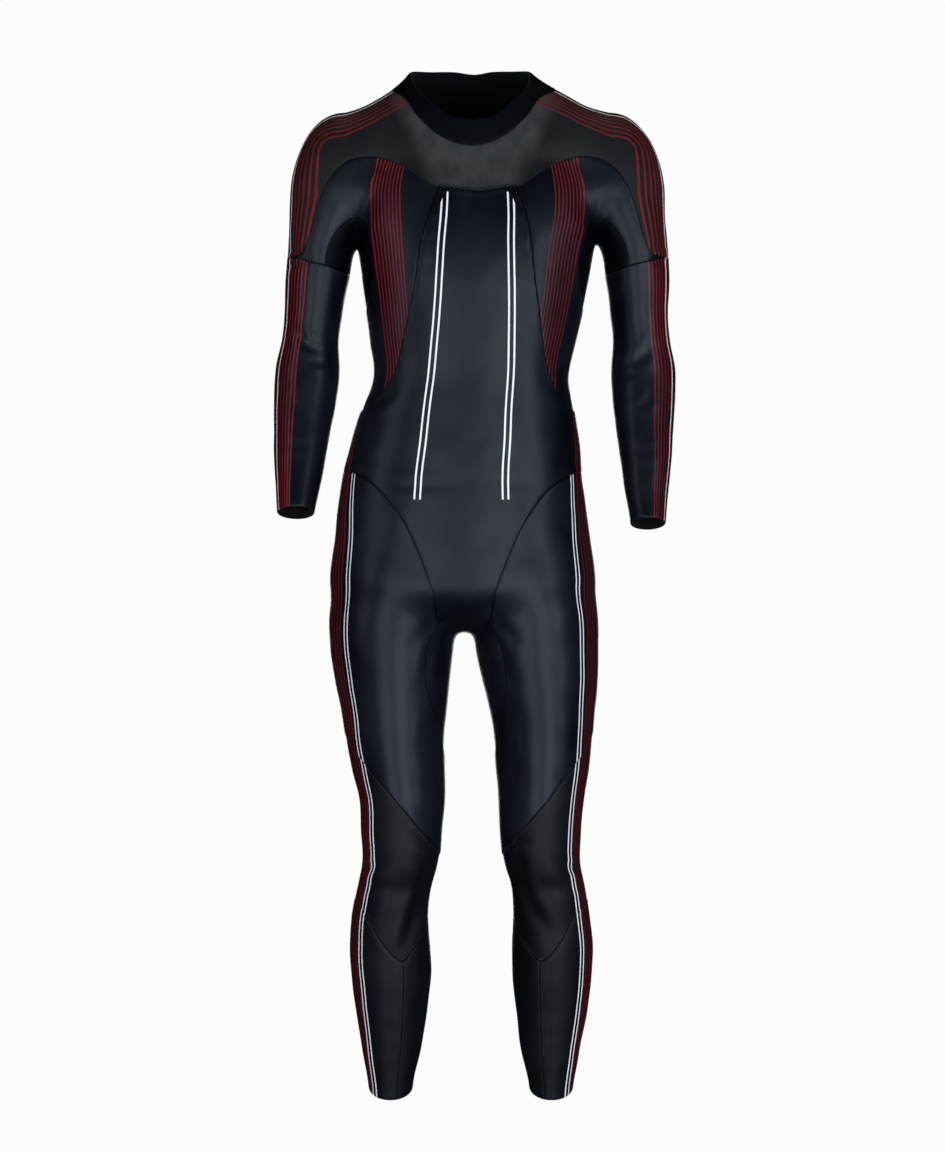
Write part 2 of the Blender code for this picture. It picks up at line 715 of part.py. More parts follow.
def cut_upper(pattern):
    """Collar, zip tape, yoke, sleeves and underarm gussets."""
    pattern.cut(
        "collar", ["body"],
        lambda p: p[:, 2] - height_on(COLLAR_SEAM, around_neck(p)),
        lambda c, part: part == TRUNK_PART and abs(c.x) < 0.16,
    )
    pattern.cut(
        "zip_tape", ["body", "collar"],
        lambda p: ZIP_TAPE_HALF - np.abs(p[:, 0] - middle_x(p)),
        lambda c, part: part == TRUNK_PART and c.y > BACK_FROM_Y and c.z > ZIP_LOWEST_Z - 0.03,
    )
    pattern.cut("body", ["zip_tape"], lambda p: ZIP_LOWEST_Z - p[:, 2])
    pattern.cut("other_half", ["zip_tape"], lambda p: p[:, 0] - middle_x(p))
    pattern.cut(
        "chain_bed", ["zip_tape", "other_half"],
        lambda p: CHAIN_HALF_WIDTH - np.abs(p[:, 0] - middle_x(p)), snap=False,
    )
    pattern.cut("zip_tape", ["other_half"], lambda p: np.ones(len(p)))
    pattern.cut("zip_tape", ["chain_bed"], lambda p: p[:, 2] - CHAIN_TOP_Z)
    pattern.cut("zip_tape", ["chain_bed"], lambda p: CHAIN_LOWEST_Z - p[:, 2])
    pattern.cut(
        "yoke", ["body"],
        lambda p: beside(YOKE_SEAM, np.abs(p[:, 0] - 0.0055), p[:, 2]),
        lambda c, part: part != LEG_PART and c.z > -0.26,
    )
    for side, mark in ((RIGHT, "R"), (LEFT, "L")):
        def own_arm(c, part, s=side):
            return part == ARM_PART and c.x * s > 0

        pattern.cut(
            f"sleeve_front_{mark}", ["body", "yoke"],
            lambda p, s=side: height_on(SLEEVE_SEAM, around(ARMS[s], s, p)) - p[:, 2],
            own_arm,
        )
        centre = np.array(UNDERARM_CENTRE) + (0.0055 * side, 0, 0)
        pattern.cut(
            f"underarm_{mark}", ["body"],
            lambda p, s=side, o=centre: 1 - np.linalg.norm(
                (p * (s, 1, 1) - o) / UNDERARM_HALVES, axis=1
            ),
            lambda c, part, s=side: part != LEG_PART and c.x * s > 0,
        )
        pattern.cut(
            f"sleeve_back_{mark}", [f"sleeve_front_{mark}"],
            lambda p, s=side: p[:, 1] - ARMS[s].section(p[:, 2])[:, 1] - 0.004,
        )


def cut_lower(pattern):
    """Fork gusset, back, seat, calves, flanks, thighs, knees and shins."""
    def lean(p):
        """How far behind the side seam."""
        return p[:, 1] - height_on(SIDE_SEAM, p[:, 2])

    for side in (RIGHT, LEFT):
        pattern.cut(
            "gusset", ["body"],
            lambda p, s=side: height_on(GUSSET_HALF_SPREAD, p[:, 2])
            - np.abs(around(LEGS[s], s, p) + 90),
            lambda c, part, s=side: part == LEG_PART and (c.x + 0.011) * s > 0 and c.z > -0.93,
        )
    pattern.cut("back_R", ["body"], lean)
    pattern.cut("seat_R", ["back_R"], lambda p: WAIST_BACK_Z - p[:, 2])
    pattern.cut("calf_R", ["seat_R"], lambda p: KNEE_BACK_Z - p[:, 2])
    for kind in ("back", "seat", "calf"):
        pattern.cut(f"{kind}_L", [f"{kind}_R"], lambda p: p[:, 0] - middle_x(p))
    for side, mark in ((RIGHT, "R"), (LEFT, "L")):
        def own_side(c, part, s=side):
            return (c.x + 0.011) * s > 0

        pattern.cut(
            f"flank_{mark}", ["body"],
            lambda p, s=side: beside(
                FRONT_SIDE_SEAM, around(TRUNK, s, p), p[:, 2], DEGREE_ON_TRUNK
            ),
            lambda c, part, s=side: part != LEG_PART and c.x * s > 0 and c.z > -0.46,
        )
        pattern.cut(
            f"thigh_{mark}", ["body"],
            lambda p, s=side: -beside(GROIN_SEAM, (p[:, 0] + 0.0115) * s, p[:, 2]),
            own_side,
        )
        pattern.cut(
            f"knee_{mark}", [f"thigh_{mark}"],
            lambda p, s=side: -beside(
                ABOVE_KNEE_SEAM, around(LEGS[s], s, p), p[:, 2], DEGREE_ON_LIMB
            ),
            lambda c, part: part == LEG_PART,
        )
        pattern.cut(
            f"shin_outer_{mark}", [f"knee_{mark}"],
            lambda p, s=side: -beside(
                BELOW_KNEE_SEAM, around(LEGS[s], s, p), p[:, 2], DEGREE_ON_LIMB
            ),
        )
        pattern.cut(
            f"shin_inner_{mark}", [f"shin_outer_{mark}"],
            lambda p, s=side: SHIN_SEAM_AROUND - around(LEGS[s], s, p),
        )


# --- Walls -----------------------------------------------------------------------------------


def inset_rims(bm, normals):
    """Draws every rim of an open mesh in by the seam clearance."""
    moves = {}
    for vert in bm.verts:
        rims = [e for e in vert.link_edges if e.is_boundary]
        if not rims:
            continue
        inwards = []
        for edge in rims:
            along = (edge.other_vert(vert).co - vert.co).normalized()
            inward = normals[vert.index].cross(along).normalized()
            face = edge.link_faces[0]
            if inward.dot(face.calc_center_median() - vert.co) < 0:
                inward.negate()
            inwards.append(inward)
        mean = sum(inwards, Vector()) / len(inwards)
        share = max(mean.length_squared, 1 / MITRE_LIMIT**2)
        moves[vert] = mean * SEAM_CLEARANCE / share
    for vert, move in moves.items():
        vert.co += move


def raise_wall(faces, thickness, lift=0.0):
    """A closed wall over the faces: their own points, lifted, and the same moved out."""
    wall = bmesh.new()
    copies = {}
    for face in faces:
        for vert in face.verts:
            if vert not in copies:
                copies[vert] = wall.verts.new(vert.co)
    for face in faces:
        wall.faces.new([copies[v] for v in face.verts])
    wall.verts.index_update()
    slopes = outward(positions(wall.verts))
    normals = [Vector(s).normalized() for s in slopes]
    inset_rims(wall, normals)
    bmesh.ops.triangulate(wall, faces=wall.faces, quad_method="BEAUTY")
    for vert in wall.verts:
        vert.co += normals[vert.index] * lift
    outer = {v: wall.verts.new(v.co + normals[v.index] * thickness) for v in list(wall.verts)}
    rims = [e for e in wall.edges if e.is_boundary]
    for face in list(wall.faces):
        wall.faces.new([outer[v] for v in face.verts])
        face.normal_flip()
    for edge in rims:
        a, b = edge.verts
        wall.faces.new((a, b, outer[b], outer[a]))
    bmesh.ops.recalc_face_normals(wall, faces=wall.faces)
    bmesh.ops.triangulate(wall, faces=[f for f in wall.faces if len(f.verts) > 3])
    return wall


# --- Materials -------------------------------------------------------------------------------

LOOKS = {
    # name: (colour, roughness, metallic)
    "glossy neoprene": ((0.012, 0.014, 0.020), 0.32, 0.0),
    "matte neoprene": ((0.030, 0.031, 0.034), 0.62, 0.0),
    "collar neoprene": ((0.008, 0.009, 0.011), 0.25, 0.0),
    "zip tape": ((0.010, 0.010, 0.012), 0.85, 0.0),
    "zip teeth": ((0.018, 0.018, 0.020), 0.45, 0.0),
    "zip metal": ((0.18, 0.18, 0.19), 0.30, 1.0),
}
MATTE_KINDS = ("yoke", "underarm")


def material(look):
    """The named Principled material, made on first use."""
    found = bpy.data.materials.get(look)
    if found:
        return found
    colour, roughness, metallic = LOOKS[look]
    made = bpy.data.materials.new(look)
    made.use_nodes = True
    shader = made.node_tree.nodes["Principled BSDF"]
    shader.inputs["Base Color"].default_value = (*colour, 1.0)
    shader.inputs["Roughness"].default_value = roughness
    shader.inputs["Metallic"].default_value = metallic
    return made


def add_object(name, bm, look, collection):
    """A named object from a bmesh, shaded smooth but for its sharp edges."""
    mesh = bpy.data.meshes.new(name)
    bm.to_mesh(mesh)
    bm.free()
    mesh.shade_smooth()
    mesh.set_sharp_from_angle(angle=math.radians(50))
    mesh.materials.append(material(look))
    made = bpy.data.objects.new(name, mesh)
    collection.objects.link(made)
    return made


def panel_look(kind):
    """Which material a kind of panel has."""
    if kind in MATTE_KINDS:
        return "matte neoprene"
    if kind == "collar":
        return "collar neoprene"
    if kind == "zip_tape":
        return "zip tape"
    return "glossy neoprene"


# --- Zip -------------------------------------------------------------------------------------

CHAIN_HEIGHT = 0.0020
LAID_ON = 0.0003
SLIDER_ABOVE_CHAIN = 0.0012
SLIDER_SIZE = (0.0100, 0.0150, 0.0040)
SLIDER_ROUND = 0.0012
PIN_RADIUS = 0.0011
BARREL_RADIUS = 0.0024
BARREL_WIDTH = 0.0054
RUNNING_GAP = 0.0003
BARREL_LIFT = 0.0005
CHEEK_SIZE = (0.0014, 0.0046, 0.0058)
PULL_SIZE = (0.0054, 0.0280, 0.0016)
PULL_LEAN = math.radians(5)
ROUND_STEPS = 20
BACK_GUESS_Y = 0.10


def back_place(z):
    """The point of the figure's centre-back line at a height, and the way out from there."""
    point = np.array([[0.0, BACK_GUESS_Y, z]])
    point[0, 0] = middle_x(point)[0]
    for _ in range(LAYING_STEPS):
        point[0, 1] -= figure(point)[0] / outward(point)[0, 1]
    slope = outward(point)[0]
    return Vector(point[0]), Vector((0, slope[1], slope[2])).normalized()


def box(size, middle, rounding=0.0):
    """A box about a middle, with its edges rounded."""
    bm = bmesh.new()
    bmesh.ops.create_cube(bm, size=1.0)
    for vert in bm.verts:
        vert.co = Vector(v * s for v, s in zip(vert.co, size)) + Vector(middle)
    if rounding:
        bmesh.ops.bevel(
            bm, geom=bm.edges[:], offset=rounding, segments=2, profile=0.5, affect="EDGES"
        )
    return bm


def rod(radius, width):
    """A cylinder along X about the origin."""
    bm = bmesh.new()
    lying = Matrix.Rotation(math.radians(90), 4, "Y")
    bmesh.ops.create_cone(
        bm, cap_ends=True, segments=ROUND_STEPS, radius1=radius, radius2=radius,
        depth=width, matrix=lying,
    )
    return bm


def combine(base, others, collection, operation="UNION"):
    """A part object with others joined to it or cut from it."""
    for bm in others:
        cutter = add_object("cutter", bm, "zip metal", collection)
        step = base.modifiers.new("combine", "BOOLEAN")
        step.operation = operation
        step.object = cutter
        bpy.context.view_layer.update()
        solved = bpy.data.meshes.new_from_object(
            base.evaluated_get(bpy.context.evaluated_depsgraph_get())
        )
        base.modifiers.clear()
        base.data = solved
        bpy.data.objects.remove(cutter)


def build_slider(collection):
    """The slider at the chain's top, with the pull's hinge, and the pull that hangs from it.

    Their own axes: X across, Y down the back, Z out from it, from the hinge's middle.
    """
    width, length, height = SLIDER_SIZE
    middle_z = CHAIN_TOP_Z + SLIDER_ABOVE_CHAIN + length / 2
    place, out = back_place(middle_z)
    across = Vector((1, 0, 0))
    down = out.cross(across)
    seat = THICKNESS["zip_tape"] + LAID_ON
    pin_lift = seat + height + BARREL_LIFT + BARREL_RADIUS
    hinge = place + out * pin_lift
    axes = Matrix((across, down, out)).transposed().to_4x4()
    frame = Matrix.Translation(hinge) @ axes

    body_middle = (0, 0, seat + height / 2 - pin_lift)
    slider = add_object("zip_slider", box(SLIDER_SIZE, body_middle, SLIDER_ROUND),
                        "zip metal", collection)
    cheek_x = BARREL_WIDTH / 2 + RUNNING_GAP + CHEEK_SIZE[0] / 2
    cheek_z = BARREL_RADIUS - CHEEK_SIZE[2] / 2
    cheeks = [box(CHEEK_SIZE, (side * cheek_x, 0, cheek_z)) for side in (-1, 1)]
    pin = rod(PIN_RADIUS, 2 * cheek_x)
    combine(slider, [*cheeks, pin], collection)
    slider.matrix_world = frame

    pull = add_object("zip_pull", rod(BARREL_RADIUS, BARREL_WIDTH), "zip metal", collection)
    plate_middle = (0, PULL_SIZE[1] / 2, 0)
    combine(pull, [box(PULL_SIZE, plate_middle)], collection)
    combine(pull, [rod(PIN_RADIUS + RUNNING_GAP, 2 * BARREL_WIDTH)], collection, "DIFFERENCE")
    pivot = bpy.data.objects.new("zip_pull_hinge", None)
    collection.objects.link(pivot)
    pivot.matrix_world = frame @ Matrix.Rotation(-PULL_LEAN, 4, "X")
    pull.parent = pivot


# --- Build -----------------------------------------------------------------------------------

SHELL_LEVELS = 1


def clear_scene():
    """Empties the scene of what it starts with."""
    for old in list(bpy.data.objects):
        bpy.data.objects.remove(old)


def kind_of(name):
    """The kind of a panel, which its name begins with."""
    return next(kind for kind in THICKNESS if name.startswith(kind))


def build_panels(pattern, collection):
    """Every panel's wall, and the zip's chain on its tape."""
    beds = pattern.faces_of("chain_bed")
    for name in pattern.names:
        faces = pattern.faces_of(name)
        if not faces or name == "chain_bed":
            continue
        if name == "zip_tape":
            faces += beds
        kind = kind_of(name)
        add_object(name, raise_wall(faces, THICKNESS[kind]), panel_look(kind), collection)
    lift = THICKNESS["zip_tape"] + LAID_ON
    add_object("zip_chain", raise_wall(beds, CHAIN_HEIGHT, lift), "zip teeth", collection)


def main():
    clear_scene()
    suit = bpy.data.collections.new("wetsuit")
    bpy.context.scene.collection.children.link(suit)
    pattern = Pattern(smooth_shell(SHELL_LEVELS))
    cut_rims(pattern)
    cut_upper(pattern)
    cut_lower(pattern)
    pattern.rename("body", "front_body")
    build_panels(pattern, suit)
    build_slider(suit)


main()
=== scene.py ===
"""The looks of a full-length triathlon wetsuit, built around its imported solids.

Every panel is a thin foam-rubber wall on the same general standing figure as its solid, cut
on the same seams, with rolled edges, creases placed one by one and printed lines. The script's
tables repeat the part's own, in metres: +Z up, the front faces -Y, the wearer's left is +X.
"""

import logging
import math
from collections.abc import Callable, Iterable, Mapping, Sequence
from dataclasses import dataclass, field
from enum import Enum, IntEnum

import bmesh
import bpy
import numpy as np
from bmesh.types import BMEdge, BMesh, BMFace, BMVert
from bpy.types import Material, Object
from mathutils import Matrix, Vector, kdtree


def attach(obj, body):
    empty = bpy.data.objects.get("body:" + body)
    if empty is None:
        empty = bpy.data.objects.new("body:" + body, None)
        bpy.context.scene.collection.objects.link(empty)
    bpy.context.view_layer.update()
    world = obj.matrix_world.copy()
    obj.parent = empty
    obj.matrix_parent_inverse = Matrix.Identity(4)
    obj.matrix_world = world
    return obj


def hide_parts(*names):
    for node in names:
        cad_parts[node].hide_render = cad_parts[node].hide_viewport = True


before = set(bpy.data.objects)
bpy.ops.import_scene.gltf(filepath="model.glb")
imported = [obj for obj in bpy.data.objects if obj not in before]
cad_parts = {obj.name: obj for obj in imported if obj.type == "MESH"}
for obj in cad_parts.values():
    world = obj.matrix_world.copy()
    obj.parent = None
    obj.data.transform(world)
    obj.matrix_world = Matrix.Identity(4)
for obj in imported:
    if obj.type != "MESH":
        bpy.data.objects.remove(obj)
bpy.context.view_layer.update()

logger = logging.getLogger("wetsuit")

Points = np.ndarray
Values = np.ndarray
Field = Callable[[Points], Values]
FaceTest = Callable[[Vector, int], bool]
Table = Sequence[Sequence[float]]
Pair = tuple[float, float]
Triple = tuple[float, float, float]
Socket = bpy.types.NodeSocket
Colour = Triple

X_AXIS, Y_AXIS, Z_AXIS = 0, 1, 2


class Side(IntEnum):
    """A side of the wearer, as the sign of its x."""

    RIGHT = -1
    LEFT = 1

    @property
    def mark(self) -> str:
        """The letter that ends the names of this side's panels."""
        return "R" if self is Side.RIGHT else "L"


class BodyPart(IntEnum):
    """Which part of the cage a face belongs to."""

    TRUNK = 0
    ARM = 1
    LEG = 2


RIGHT, LEFT = Side.RIGHT, Side.LEFT
TRUNK, ARM, LEG = BodyPart.TRUNK, BodyPart.ARM, BodyPart.LEG

# --- The form under the cloth ---

# Trunk, by height: where its widest line runs, and how far it reaches sideways, forwards
# and backwards from there.
TRUNK_SECTIONS = (
    # z,      mid_x,  mid_y, half_width, front, back
    (-0.630, -0.014, 0.008, 0.1735, 0.112, 0.120),
    (-0.575, -0.014, 0.006, 0.1725, 0.112, 0.119),
    (-0.535, -0.015, 0.003, 0.1675, 0.110, 0.111),
    (-0.494, -0.014, 0.000, 0.1615, 0.107, 0.101),
    (-0.452, -0.010, -0.004, 0.1545, 0.103, 0.092),
    (-0.410, -0.007, -0.008, 0.1445, 0.099, 0.087),
    (-0.360, -0.002, -0.008, 0.1325, 0.100, 0.088),
    (-0.306, 0.001, -0.006, 0.1405, 0.107, 0.095),
    (-0.264, 0.003, -0.003, 0.1485, 0.114, 0.103),
    (-0.222, 0.004, 0.000, 0.1555, 0.119, 0.110),
    (-0.180, 0.005, 0.003, 0.1625, 0.120, 0.114),
    (-0.140, 0.007, 0.006, 0.1700, 0.115, 0.113),
    (-0.100, 0.007, 0.010, 0.1700, 0.105, 0.107),
    (-0.065, 0.007, 0.013, 0.1600, 0.092, 0.096),
)
TRUNK_SQUARENESS = 2.3
FORK_CAP = 0.078
CHEST_CAP = 0.070

# Shoulder ridge, from one shoulder to the other.
RIDGE_SECTIONS = (
    # x,     mid_y, mid_z, half_depth, half_height
    (-0.178, 0.010, -0.048, 0.042, 0.048),
    (-0.135, 0.014, -0.026, 0.052, 0.052),
    (-0.095, 0.018, -0.006, 0.060, 0.056),
    (0.004, 0.020, 0.006, 0.070, 0.064),
    (0.100, 0.018, -0.006, 0.060, 0.056),
    (0.143, 0.014, -0.026, 0.052, 0.052),
    (0.190, 0.010, -0.048, 0.042, 0.048),
)
RIDGE_CAP = 0.030

NECK_SECTIONS = (
    # z,    mid_x, mid_y, half_width, front, back
    (0.000, -0.002, 0.014, 0.088, 0.076, 0.078),
    (0.060, -0.005, 0.010, 0.072, 0.070, 0.070),
    (0.140, -0.005, 0.002, 0.068, 0.066, 0.064),
)
NECK_CAP = 0.050

# Arms, by height, with one column of middles for each side.
ARM_SECTIONS = (
    # z,      x_right, x_left, mid_y, half_width, half_depth
    (-0.580, -0.2435, 0.2405, -0.068, 0.0215, 0.026),
    (-0.550, -0.2425, 0.2405, -0.057, 0.0235, 0.028),
    (-0.514, -0.2405, 0.2395, -0.044, 0.0285, 0.031),
    (-0.473, -0.2385, 0.2395, -0.029, 0.0335, 0.036),
    (-0.431, -0.2355, 0.2385, -0.013, 0.0375, 0.041),
    (-0.389, -0.2325, 0.2380, 0.001, 0.0417, 0.044),
    (-0.347, -0.2295, 0.2380, 0.010, 0.0427, 0.044),
    (-0.306, -0.2260, 0.2350, 0.012, 0.0377, 0.044),
    (-0.264, -0.2210, 0.2320, 0.011, 0.0387, 0.047),
    (-0.222, -0.2160, 0.2300, 0.009, 0.0425, 0.050),
    (-0.181, -0.2100, 0.2250, 0.007, 0.0450, 0.053),
    (-0.145, -0.1990, 0.2130, 0.006, 0.0540, 0.056),
    (-0.110, -0.1860, 0.2000, 0.006, 0.0660, 0.058),
)
SHOULDER_CAP = 0.108
WRIST_CAP = 0.020

# Legs, by height, in the same way.
LEG_SECTIONS = (
    # z,      x_right, x_left, mid_y, half_width, half_depth
    (-1.400, -0.1143, 0.1100, 0.036, 0.0240, 0.030),
    (-1.345, -0.1143, 0.1100, 0.035, 0.0280, 0.036),
    (-1.300, -0.1133, 0.1090, 0.033, 0.0370, 0.043),
    (-1.237, -0.1133, 0.1110, 0.030, 0.0470, 0.052),
    (-1.195, -0.1133, 0.1110, 0.027, 0.0520, 0.057),
    (-1.154, -0.1153, 0.1120, 0.024, 0.0530, 0.060),
    (-1.112, -0.1153, 0.1100, 0.017, 0.0505, 0.058),
    (-1.070, -0.1093, 0.1060, 0.008, 0.0485, 0.056),
    (-1.029, -0.1003, 0.0970, 0.001, 0.0500, 0.060),
    (-0.987, -0.0993, 0.0950, -0.001, 0.0530, 0.063),
    (-0.945, -0.0983, 0.0960, -0.001, 0.0560, 0.067),
    (-0.904, -0.1033, 0.0980, 0.001, 0.0610, 0.072),
    (-0.862, -0.1073, 0.0980, 0.003, 0.0650, 0.077),
    (-0.820, -0.1083, 0.0960, 0.005, 0.0700, 0.082),
    (-0.778, -0.1103, 0.0930, 0.007, 0.0770, 0.088),
    (-0.737, -0.1113, 0.0890, 0.009, 0.0820, 0.094),
    (-0.695, -0.1103, 0.0860, 0.010, 0.0850, 0.098),
    (-0.650, -0.1053, 0.0790, 0.010, 0.0850, 0.100),
)
HIP_CAP = 0.100
ANKLE_CAP = 0.020

# How softly each form melts into what it joins.
RIDGE_MELT = 0.050
NECK_MELT = 0.045
ARM_MELT = 0.040
ARMPIT_MELT = 0.013
ARM_MELT_FROM_Z, ARMPIT_MELT_FROM_Z = -0.090, -0.165
FORK_MELT = 0.022

GRADIENT_STEP = 0.0005
LAYING_STEPS = 8
FINE_LAYING_STEPS = 3
BACK_GUESS_Y = 0.10
UNDERARM_MIDDLE_Y = 0.006
LEAST_SHARE = 1e-9
SIZES_IN_A_FULL_SECTION = 5


def add_object(name: str, data: bpy.types.ID) -> Object:
    """A new object in the scene."""
    made = bpy.data.objects.new(name, data)
    bpy.context.scene.collection.objects.link(made)
    return made


def turns(count: int, start: float = 0.0) -> list[float]:
    """Angles evenly round a circle."""
    return [start + 2 * math.pi * k / count for k in range(count)]


def spline(knots: Values, values: Values, at: Values) -> Values:
    """A smooth curve through rows of values.

    Args:
        knots: Where the rows are, rising.
        values: One row for each knot.
        at: The places to read.

    Returns:
        One row for each place.
    """
    slopes = np.gradient(values, knots, axis=0)
    i = np.clip(np.searchsorted(knots, at) - 1, 0, len(knots) - 2)
    span = knots[i + 1] - knots[i]
    t = np.clip((at - knots[i]) / span, 0, 1)[:, None]
    span = span[:, None]
    return (
        values[i] * (1 + 2 * t) * (1 - t) ** 2
        + slopes[i] * span * t * (1 - t) ** 2
        + values[i + 1] * t**2 * (3 - 2 * t)
        - slopes[i + 1] * span * t**2 * (1 - t)
    )


def smooth_step(low: float, high: float, value: Values) -> Values:
    """A rise from 0 at low to 1 at high, level at both ends, read at each value."""
    share = np.clip((value - low) / (high - low), 0, 1)
    return share**2 * (3 - 2 * share)


def melt(a: Values, b: Values, radius: float | Values) -> Values:
    """The lesser of two distances from forms, with a fillet where the forms meet."""
    near = np.maximum(radius - np.abs(a - b), 0) / radius
    return np.minimum(a, b) - near**2 * radius / 4


@dataclass
class Tube:
    """A round form with oval sections across one axis and rounded ends."""

    axis: int
    table: Table
    cap_low: float
    cap_high: float
    squareness: float = 2.0
    knots: Values = field(init=False)
    rows: Values = field(init=False)
    across: list[int] = field(init=False)

    def __post_init__(self) -> None:
        """Splits the table into its knots and rows."""
        table = np.array(self.table)
        self.knots, self.rows = table[:, 0], table[:, 1:]
        self.across = [k for k in (X_AXIS, Y_AXIS, Z_AXIS) if k != self.axis]

    def section(self, along: Values) -> Values:
        """The sections at places along the tube.

        Args:
            along: The places.

        Returns:
            Columns of first middle, second middle, first half, second low and second high.
        """
        rows = spline(self.knots, self.rows, along)
        if rows.shape[1] < SIZES_IN_A_FULL_SECTION:
            rows = np.column_stack([rows, rows[:, 3]])
        return rows

    def distance(self, points: Points) -> Values:
        """About how far points are outside the form.

        Args:
            points: The points, as rows.

        Returns:
            A distance for each, less than 0 inside.
        """
        along = points[:, self.axis]
        held = np.clip(along, self.knots[0], self.knots[-1])
        beyond = along - held
        middle_a, middle_b, half_a, low_b, high_b = self.section(held).T
        a = points[:, self.across[0]] - middle_a
        b = points[:, self.across[1]] - middle_b
        half_b = np.where(b < 0, low_b, high_b)
        half_end = np.where(beyond < 0, self.cap_low, self.cap_high)
        halves = np.column_stack([half_a, half_b, half_end])
        n = self.squareness
        shares = np.abs(np.column_stack([a, b, beyond])) / halves + LEAST_SHARE
        reach = (shares**n).sum(1) ** (1 / n)
        slope = reach ** (1 - n) * np.linalg.norm(shares ** (n - 1) / halves, axis=1)
        return (reach - 1) / slope

    def around(self, side: int, points: Points) -> Values:
        """How far round an upright tube points are.

        Args:
            side: The side whose outer line is at 90 degrees.
            points: The points, as rows.

        Returns:
            Degrees for each: 0 at the front, 90 at the outer side.
        """
        mid_x, mid_y, half_width, front, back = self.section(points[:, 2]).T
        y = points[:, 1] - mid_y
        out = side * (points[:, 0] - mid_x) / half_width
        ahead = -y / np.where(y < 0, front, back)
        return np.degrees(np.arctan2(out, ahead))


def limb(side: Side, table: Table, cap_low: float, cap_high: float) -> Tube:
    """One side's arm or leg, from its table and how far its ends are rounded."""
    x_column = 1 if side == RIGHT else 2
    return Tube(Z_AXIS, [(row[0], row[x_column], *row[3:]) for row in table], cap_low, cap_high)


class Figure:
    """A general standing figure, with no likeness, that fills the suit out."""

    def __init__(self) -> None:
        """Makes the tubes from their tables."""
        self.trunk = Tube(Z_AXIS, TRUNK_SECTIONS, FORK_CAP, CHEST_CAP, TRUNK_SQUARENESS)
        self.ridge = Tube(X_AXIS, RIDGE_SECTIONS, RIDGE_CAP, RIDGE_CAP)
        self.neck = Tube(Z_AXIS, NECK_SECTIONS, NECK_CAP, NECK_CAP)
        self.arms = {s: limb(s, ARM_SECTIONS, WRIST_CAP, SHOULDER_CAP) for s in Side}
        self.legs = {s: limb(s, LEG_SECTIONS, ANKLE_CAP, HIP_CAP) for s in Side}

    def distance(self, points: Points) -> Values:
        """How far points are outside the whole figure.

        Args:
            points: The points, as rows.

        Returns:
            A distance for each.
        """
        arm_melt = ARMPIT_MELT + (ARM_MELT - ARMPIT_MELT) * smooth_step(
            ARMPIT_MELT_FROM_Z, ARM_MELT_FROM_Z, points[:, 2]
        )
        body = melt(self.trunk.distance(points), self.ridge.distance(points), RIDGE_MELT)
        body = melt(body, self.neck.distance(points), NECK_MELT)
        for side in Side:
            body = melt(body, self.arms[side].distance(points), arm_melt)
        legs = [self.legs[side].distance(points) for side in Side]
        return melt(body, melt(*legs, FORK_MELT), FORK_MELT)

    def slope(self, points: Points) -> Points:
        """The figure's slope at each point, which near its surface is the outward normal."""
        steps = GRADIENT_STEP * np.eye(3)
        return np.column_stack(
            [self.distance(points + step) - self.distance(points - step) for step in steps]
        ) / (2 * GRADIENT_STEP)

    def normals(self, points: Points) -> Points:
        """The unit outward normal at each point."""
        slope = self.slope(points)
        return slope / np.linalg.norm(slope, axis=1)[:, None]

    def lay(self, points: Points, steps: int = LAYING_STEPS) -> Points:
        """Moves points onto the figure's surface.

        Args:
            points: The points, as rows.
            steps: How many times to close in on the surface.

        Returns:
            The points on the surface.
        """
        for _ in range(steps):
            slope = self.slope(points)
            points = points - slope * (self.distance(points) / (slope**2).sum(1))[:, None]
        return points

    def middle_x(self, points: Points) -> Values:
        """The trunk's middle line at each point's height."""
        return self.trunk.section(points[:, 2])[:, 0]

    def centre_back(self, heights: Values) -> tuple[Points, Points]:
        """The centre-back line.

        Args:
            heights: The heights to read it at.

        Returns:
            Its points, and the ways straight out of the back from them.
        """
        points = np.column_stack([heights * 0, heights * 0 + BACK_GUESS_Y, heights])
        points[:, 0] = self.middle_x(points)
        for _ in range(LAYING_STEPS):
            points[:, 1] -= self.distance(points) / self.slope(points)[:, 1]
        out = self.slope(points) * (0, 1, 1)
        return points, out / np.linalg.norm(out, axis=1)[:, None]


FIGURE = Figure()

# --- The cage ---

TRUNK_COLUMNS = 16
ARM_COLUMNS = 8
HALF_TRUNK = TRUNK_COLUMNS // 2
SIDE_COLUMN = TRUNK_COLUMNS // 4

# Rings of the trunk above the armpits: the height of each at the front, the side and the
# back, and how far it reaches. The arms leave between the third ring and the fifth.
UPPER_MIDDLE = (0.007, 0.010)
UPPER_RINGS = (
    # front_z, side_z, back_z, half_width, front_y, back_y
    (0.040, 0.110, 0.125, 0.068, -0.058, 0.070),
    (-0.040, 0.050, 0.060, 0.090, -0.078, 0.088),
    (-0.085, 0.020, 0.010, 0.140, -0.100, 0.105),
    (-0.125, -0.002, -0.045, 0.176, -0.110, 0.114),
    (-0.160, -0.085, -0.110, 0.180, -0.118, 0.118),
    (-0.195, -0.168, -0.175, 0.172, -0.119, 0.115),
)
ARM_TOP_RING, ARMPIT_RING = 3, 5
# Round an arm's hole: how many rings down from its top, and columns back from its middle.
ARM_HOLE = ((0, 0), (0, 1), (1, 1), (2, 1), (2, 0), (2, -1), (1, -1), (0, -1))
LOWER_RING_HEIGHTS = (-0.240, -0.300, -0.360, -0.415, -0.470, -0.530, -0.590, -0.645)
FORK_RING = (-0.692, -0.665, -0.690)

